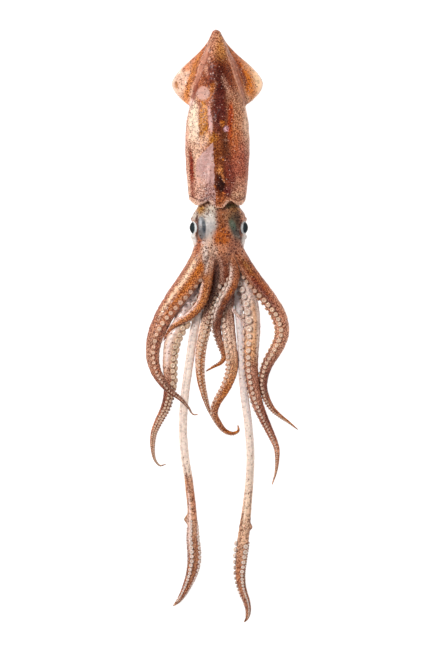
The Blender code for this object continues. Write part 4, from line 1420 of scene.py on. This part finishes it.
# Pale skin that runs from the head down between the roots of the arms
ROOT_PATCHES = (
    (-12.6, -105, 2.8, 11, -3, 0.6, (212, 194, 184), 0.85),
    (-1.8, -101, 1.8, 4.5, 0, 0.6, (214, 184, 166), 0.7),
)
WINDOWS_BARE = (
    (-16.6, -78, 4.8, 12, 2, 0.3),
    (16.8, -79, 4.8, 10, 28, 0.3),
    (-8, -78, 6, 13, 0, 0.5),
    (-25.5, -89, 4, 9, 6, 0.5),
    (27.5, -90, 4, 9, -6, 0.5),
)


def freckled(s, base, light_share, dark_share, bare, grain=0.95, coarse=None):
    """Lays the brown colour cells of the skin over a base, more of them where it is darker."""
    light = s.light(base)
    share = s.step(light, 0.86, 0.66, (light_share, dark_share))
    finer = s.step(light, 0.8, 0.62, (0.0, dark_share))
    covered = s.step(bare, 0.0, 1.0, (1.0, 0.15))
    share, finer = s.times(share, covered), s.times(finer, covered)
    rust = s.mix(1.0, base, RUST, "MULTIPLY")
    dark = s.mix(1.0, base, CELL, "MULTIPLY")
    fine = s.times(s.step(s.noise(1.1, 1.5), 0.45, 0.57), finer)
    base = s.mix(s.times(fine, grain), s.richer(base, 0.96, 1.24), rust)
    if coarse is not None:
        spots = s.dots(2.7, s.times(share, coarse), 0.34)
        base = s.mix(s.times(spots, 0.92), base, dark)
    return s.mix(s.times(s.dots(1.8, share, 0.34), 0.88), base, dark)


def mantle_skin():
    s = Shade("wet_mantle_skin", Roughness=0.36, **WET)
    s.set("Coat Weight", 0.22)
    where = s.twice_warped(9.0, 1.8, 2.2, 0.9)
    place = s.add("ShaderNodeSeparateXYZ", {"Vector": where})
    x, y, height = (place.outputs[axis] for axis in "XYZ")
    fin, inward = s.value("fin"), s.value("inward")
    back = s.patches(where, rgba((188, 120, 88)), MANTLE_PATCHES)
    slant, corner_x, corner_y, right_edge, lean_right = TORN
    rise = s.most(s.times(s.minus(y, corner_y), slant), 0.0)
    left = s.step(s.minus(s.minus(x, corner_x), rise), -0.7, 0.7)
    edge = s.math("MULTIPLY_ADD", y, lean_right, right_edge)
    torn = s.times(left, s.step(s.minus(edge, x), -0.5, 0.5))
    back = s.mix(s.times(torn, 0.95), back, TORN_COLOUR)
    back = s.patches(where, back, TORN_PATCHES)
    back = s.patches(where, back, BAND_PATCHES)
    flap = s.patches(where, back, FIN_PATCHES)
    colour = s.mix(s.step(fin, 0.12, 0.34), back, flap)
    belly = s.mix(s.noise(12.0), (232, 206, 192), (214, 172, 156))
    upper = s.most(s.step(height, 5.5, 14.0), s.step(fin, 0.05, 0.25))
    tip = s.times(s.step(y, 100.0, 112.0), s.step(height, 1.5, 4.5))
    upper = s.most(upper, tip)
    colour = s.mix(upper, belly, s.richer(colour, 1.13, 1.06))
    colour = s.mix(s.step(s.noise(5.0, 4.0), 0.55, 0.85, (0.0, 0.25)), colour, (236, 202, 184))
    # Painted shade: a thin dark line about 5 mm behind the front edge, for the crease above the lips.
    fold = s.times(s.step(inward, 6.2, 5.2), s.step(inward, 3.8, 4.8))
    colour = s.darker(colour, s.step(fold, 0.0, 1.0, (1.0, 0.5)))
    lips = s.step(inward, 4.4, 3.2, (0.0, 0.52))
    lips = s.times(lips, s.step(s.math("ABSOLUTE", x), 9.0, 13.0, (0.25, 1.0)))
    colour = s.mix(lips, colour, (224, 186, 158))
    colour = s.mix(s.step(inward, 1.4, 0.4, (0.0, 0.55)), colour, (232, 194, 168))
    colour = s.darker(colour, s.step(s.noise(3.2, 3.0), 0.35, 0.75, (1.06, 0.72)))
    bare = s.times(torn, s.step(y, -42.0, -26.0))
    for spot in BARE_PATCHES:
        bare = s.most(bare, s.blob(where, *spot))
    bare = s.most(bare, s.times(lips, 0.8))
    bare = s.most(bare, s.step(fin, 0.3, 0.5, (0.0, 0.55)))
    colour = freckled(s, colour, 0.45, 1.0, bare)
    # Painted highlights: pale flecks on the torn place and small pale dots over the back stand in for
    # the glints of the wet skin.
    painted_glints = s.times(s.times(torn, 0.6), s.dots(2.0, 0.7, 0.24))
    colour = s.mix(painted_glints, colour, (232, 202, 196))
    share = s.step(s.noise(20.0), 0.35, 0.7, (0.2, 0.75))
    colour = s.mix(s.times(s.dots(2.4, share, 0.19), 0.7), colour, (240, 190, 168))
    colour = s.mix(s.step(fin, 0.86, 1.0, (0.0, 0.55)), colour, (244, 218, 200))
    return s.finished(colour, 4.0, 0.3, 0.5, (0.9, 0.2), (3.0, 0.4))


def limb_skin():
    s = Shade("wet_arm_skin", Roughness=0.36, **WET)
    where = s.twice_warped(7.0, 1.4, 1.9, 0.8)
    oral, border, limb = s.value("oral"), s.value("border"), s.value("limb")
    head = s.patches(where, rgba((178, 132, 110)), HEAD_PATCHES)
    head = s.patches(s.warped(5.0, 0.4), head, WINDOW_PATCHES)
    height = s.add("ShaderNodeSeparateXYZ", {"Vector": s.where}).outputs["Z"]
    head = s.mix(s.step(height, 6.0, 15.0), rgba((214, 184, 172)), head)
    colour = s.mix(limb, head, s.colour("tone"))
    roots = s.patches(where, colour, ROOT_PATCHES)
    colour = s.mix(s.step(height, 12.0, 17.0), colour, roots)
    colour = s.richer(colour, 1.17, 1.06)
    colour = s.mix(s.step(s.noise(4.5, 4.0), 0.5, 0.85, (0.0, 0.22)), colour, (236, 206, 188))
    colour = s.mix(s.times(border, 0.35), colour, (138, 70, 46))
    # Painted shade: the grooves between the roots of the arms are darkened.
    colour = s.darker(colour, s.step(s.value("groove"), 0.15, 0.95, (1.0, 0.45)))
    pale = s.mix(s.noise(3.0), colour, ORAL)
    colour = s.mix(s.times(oral, 0.5), colour, pale)
    colour = s.darker(colour, s.step(s.noise(2.6, 3.0), 0.35, 0.75, (1.06, 0.72)))
    on_head, bare = s.minus(1.0, limb), s.value("clear")
    for spot in WINDOWS_BARE:
        bare = s.most(bare, s.times(s.blob(s.where, *spot), on_head))
    grain = s.step(limb, 0.2, 1.0, (0.55, 0.95))
    colour = freckled(s, colour, 0.05, 1.0, bare, grain, s.times(on_head, 0.9))
    # Painted highlights: small pale dots stand in for the glints of the wet skin.
    colour = s.mix(s.times(s.dots(2.6, 0.3, 0.16), 0.45), colour, (246, 208, 186))
    return s.finished(colour, 3.0, 0.3, 0.5, (0.8, 0.16), (2.4, 0.34))


def sucker_skin():
    s = Shade("sucker_skin", Roughness=0.34, **WET)
    cup = s.value("cup")
    body = s.mix(s.step(s.noise(1.6), 0.35, 0.75, (0.0, 0.4)), s.colour("tone"), (150, 92, 66))
    # Painted shade darkens the outside of each sucker below its widest ring.
    body = s.mix(s.step(cup, 0.14, 0.02, (0.0, 0.42)), body, (134, 80, 58))
    colour = s.mix(s.step(cup, 0.15, 0.5, (0.0, 0.5)), body, (240, 216, 198))
    # The inside of the cup is a little darker: its own horny ring, and painted shade in the hollow.
    colour = s.mix(s.step(cup, 0.6, 0.95, (0.0, 0.35)), colour, (190, 136, 106))
    return s.finished(colour, 2.0, 0.25, 0.42, (0.5, 0.05))


def eye_look():
    s = Shade(
        "eye", Roughness=0.14, Coat_Weight=0.05, Coat_Roughness=0.04, Specular_IOR_Level=0.03
    )
    tilt = s.math("ADD", s.value("tilt"), s.step(s.noise(1.6), 0.2, 0.8, (-2.0, 2.0)))
    height = s.add("ShaderNodeSeparateXYZ", {"Vector": s.where}).outputs["Z"]
    silver = s.mix(s.noise(1.2, 4.0), (206, 210, 212), (246, 246, 242))
    white = s.mix(s.step(tilt, 66.0, 84.0), silver, (196, 180, 172))
    # The pupil is near black, with a painted reflection turning its upper part grey.
    pupil = s.mix(s.step(height, 21.5, 27.0), (5, 6, 7), (48, 56, 60))
    rim = s.times(s.step(tilt, 34.0, 38.5), s.step(tilt, 43.5, 41.0))
    colour = s.mix(s.step(tilt, 37.0, 41.0), pupil, white)
    s.set("Base Color", s.mix(s.times(rim, 0.6), colour, (60, 64, 68)))
    s.bumps((0.7, 0.03))
    return s.material


def floor_look():
    s = Shade("floor_paper", Roughness=0.9, Specular_IOR_Level=0.0)
    s.set("Base Color", s.mix(s.noise(60.0), (150, 150, 150), (154, 154, 154)))
    s.set("Emission Color", (1.0, 1.0, 1.0, 1.0))
    s.set("Emission Strength", 0.93)
    return s.material


# ---------------------------------------------------------------- stage, light and camera


def build_stage():
    """A pale floor, wide enough for every view."""
    half = 3000.0
    floor = mesh_object(
        "floor", [(-half, -half, 0), (half, -half, 0), (half, half, 0), (-half, half, 0)],
        [[0, 1, 2, 3]],
    )
    floor.location.z = -0.0003
    floor.data.materials.append(floor_look())


def area_light(name, place, target, size, power, tint=(1.0, 1.0, 1.0)):
    data = bpy.data.lights.new(name, "AREA")
    data.shape = "SQUARE"
    data.size = size
    data.energy = power
    data.color = tint
    light = bpy.data.objects.new(name, data)
    light.location = place
    light.rotation_euler = (Vector(target) - Vector(place)).to_track_quat("-Z", "Y").to_euler()
    bpy.context.scene.collection.objects.link(light)


def build_lights():
    """A white tent that is dark round the camera, and a soft key light from the upper left."""
    middle = (0.0, -0.17, 0.0)
    area_light("key", (-1.0, 0.5, 1.5), middle, 0.5, 27.0)
    area_light("fill", (1.3, -0.5, 1.3), middle, 1.4, 5.0)
    world = bpy.data.worlds.new("studio")
    world.use_nodes = True
    nodes, links = world.node_tree.nodes, world.node_tree.links
    back = nodes["Background"]
    way = nodes.new("ShaderNodeTexCoord")
    parts = nodes.new("ShaderNodeSeparateXYZ")
    fade = nodes.new("ShaderNodeMapRange")
    fade.interpolation_type = "SMOOTHSTEP"
    links.new(way.outputs["Generated"], parts.inputs[0])
    links.new(parts.outputs["Z"], fade.inputs["Value"])
    for name, value in (("From Min", 0.45), ("From Max", 0.97), ("To Min", 0.6), ("To Max", 0.14)):
        fade.inputs[name].default_value = value
    links.new(fade.outputs[0], back.inputs["Strength"])
    back.inputs["Color"].default_value = (1.0, 1.0, 1.0, 1.0)
    bpy.context.scene.world = world
    bpy.context.scene.view_settings.view_transform = "Standard"


def build_camera():
    """Looks straight down with a long lens."""
    data = bpy.data.cameras.new("camera")
    data.lens = 220.0
    data.sensor_width = 36.0
    camera = bpy.data.objects.new("camera", data)
    view_height = 0.65  # metres of the table, from the top of the frame to its foot
    camera.location = (0.0, -0.175, 0.005 + view_height * data.lens / data.sensor_width)
    bpy.context.scene.collection.objects.link(camera)
    bpy.context.scene.camera = camera


def main():
    tracks = [Track(limb) for limb in LIMBS]
    arm_material, sucker_material, eye_material = limb_skin(), sucker_skin(), eye_look()
    build_mantle()
    build_crown(tracks, arm_material)
    for track in tracks:
        build_limb(track, arm_material)
    build_web(arm_material)
    rng = np.random.default_rng(7)
    for word in ("left", "right"):
        side_tracks = [t for t in tracks if word in t.limb.name]
        build_suckers("suckers_" + word, side_tracks, rng, sucker_material)
    build_eye(-1, "left", eye_material)
    build_eye(1, "right", eye_material)
    build_stage()
    build_lights()
    build_camera()


main()
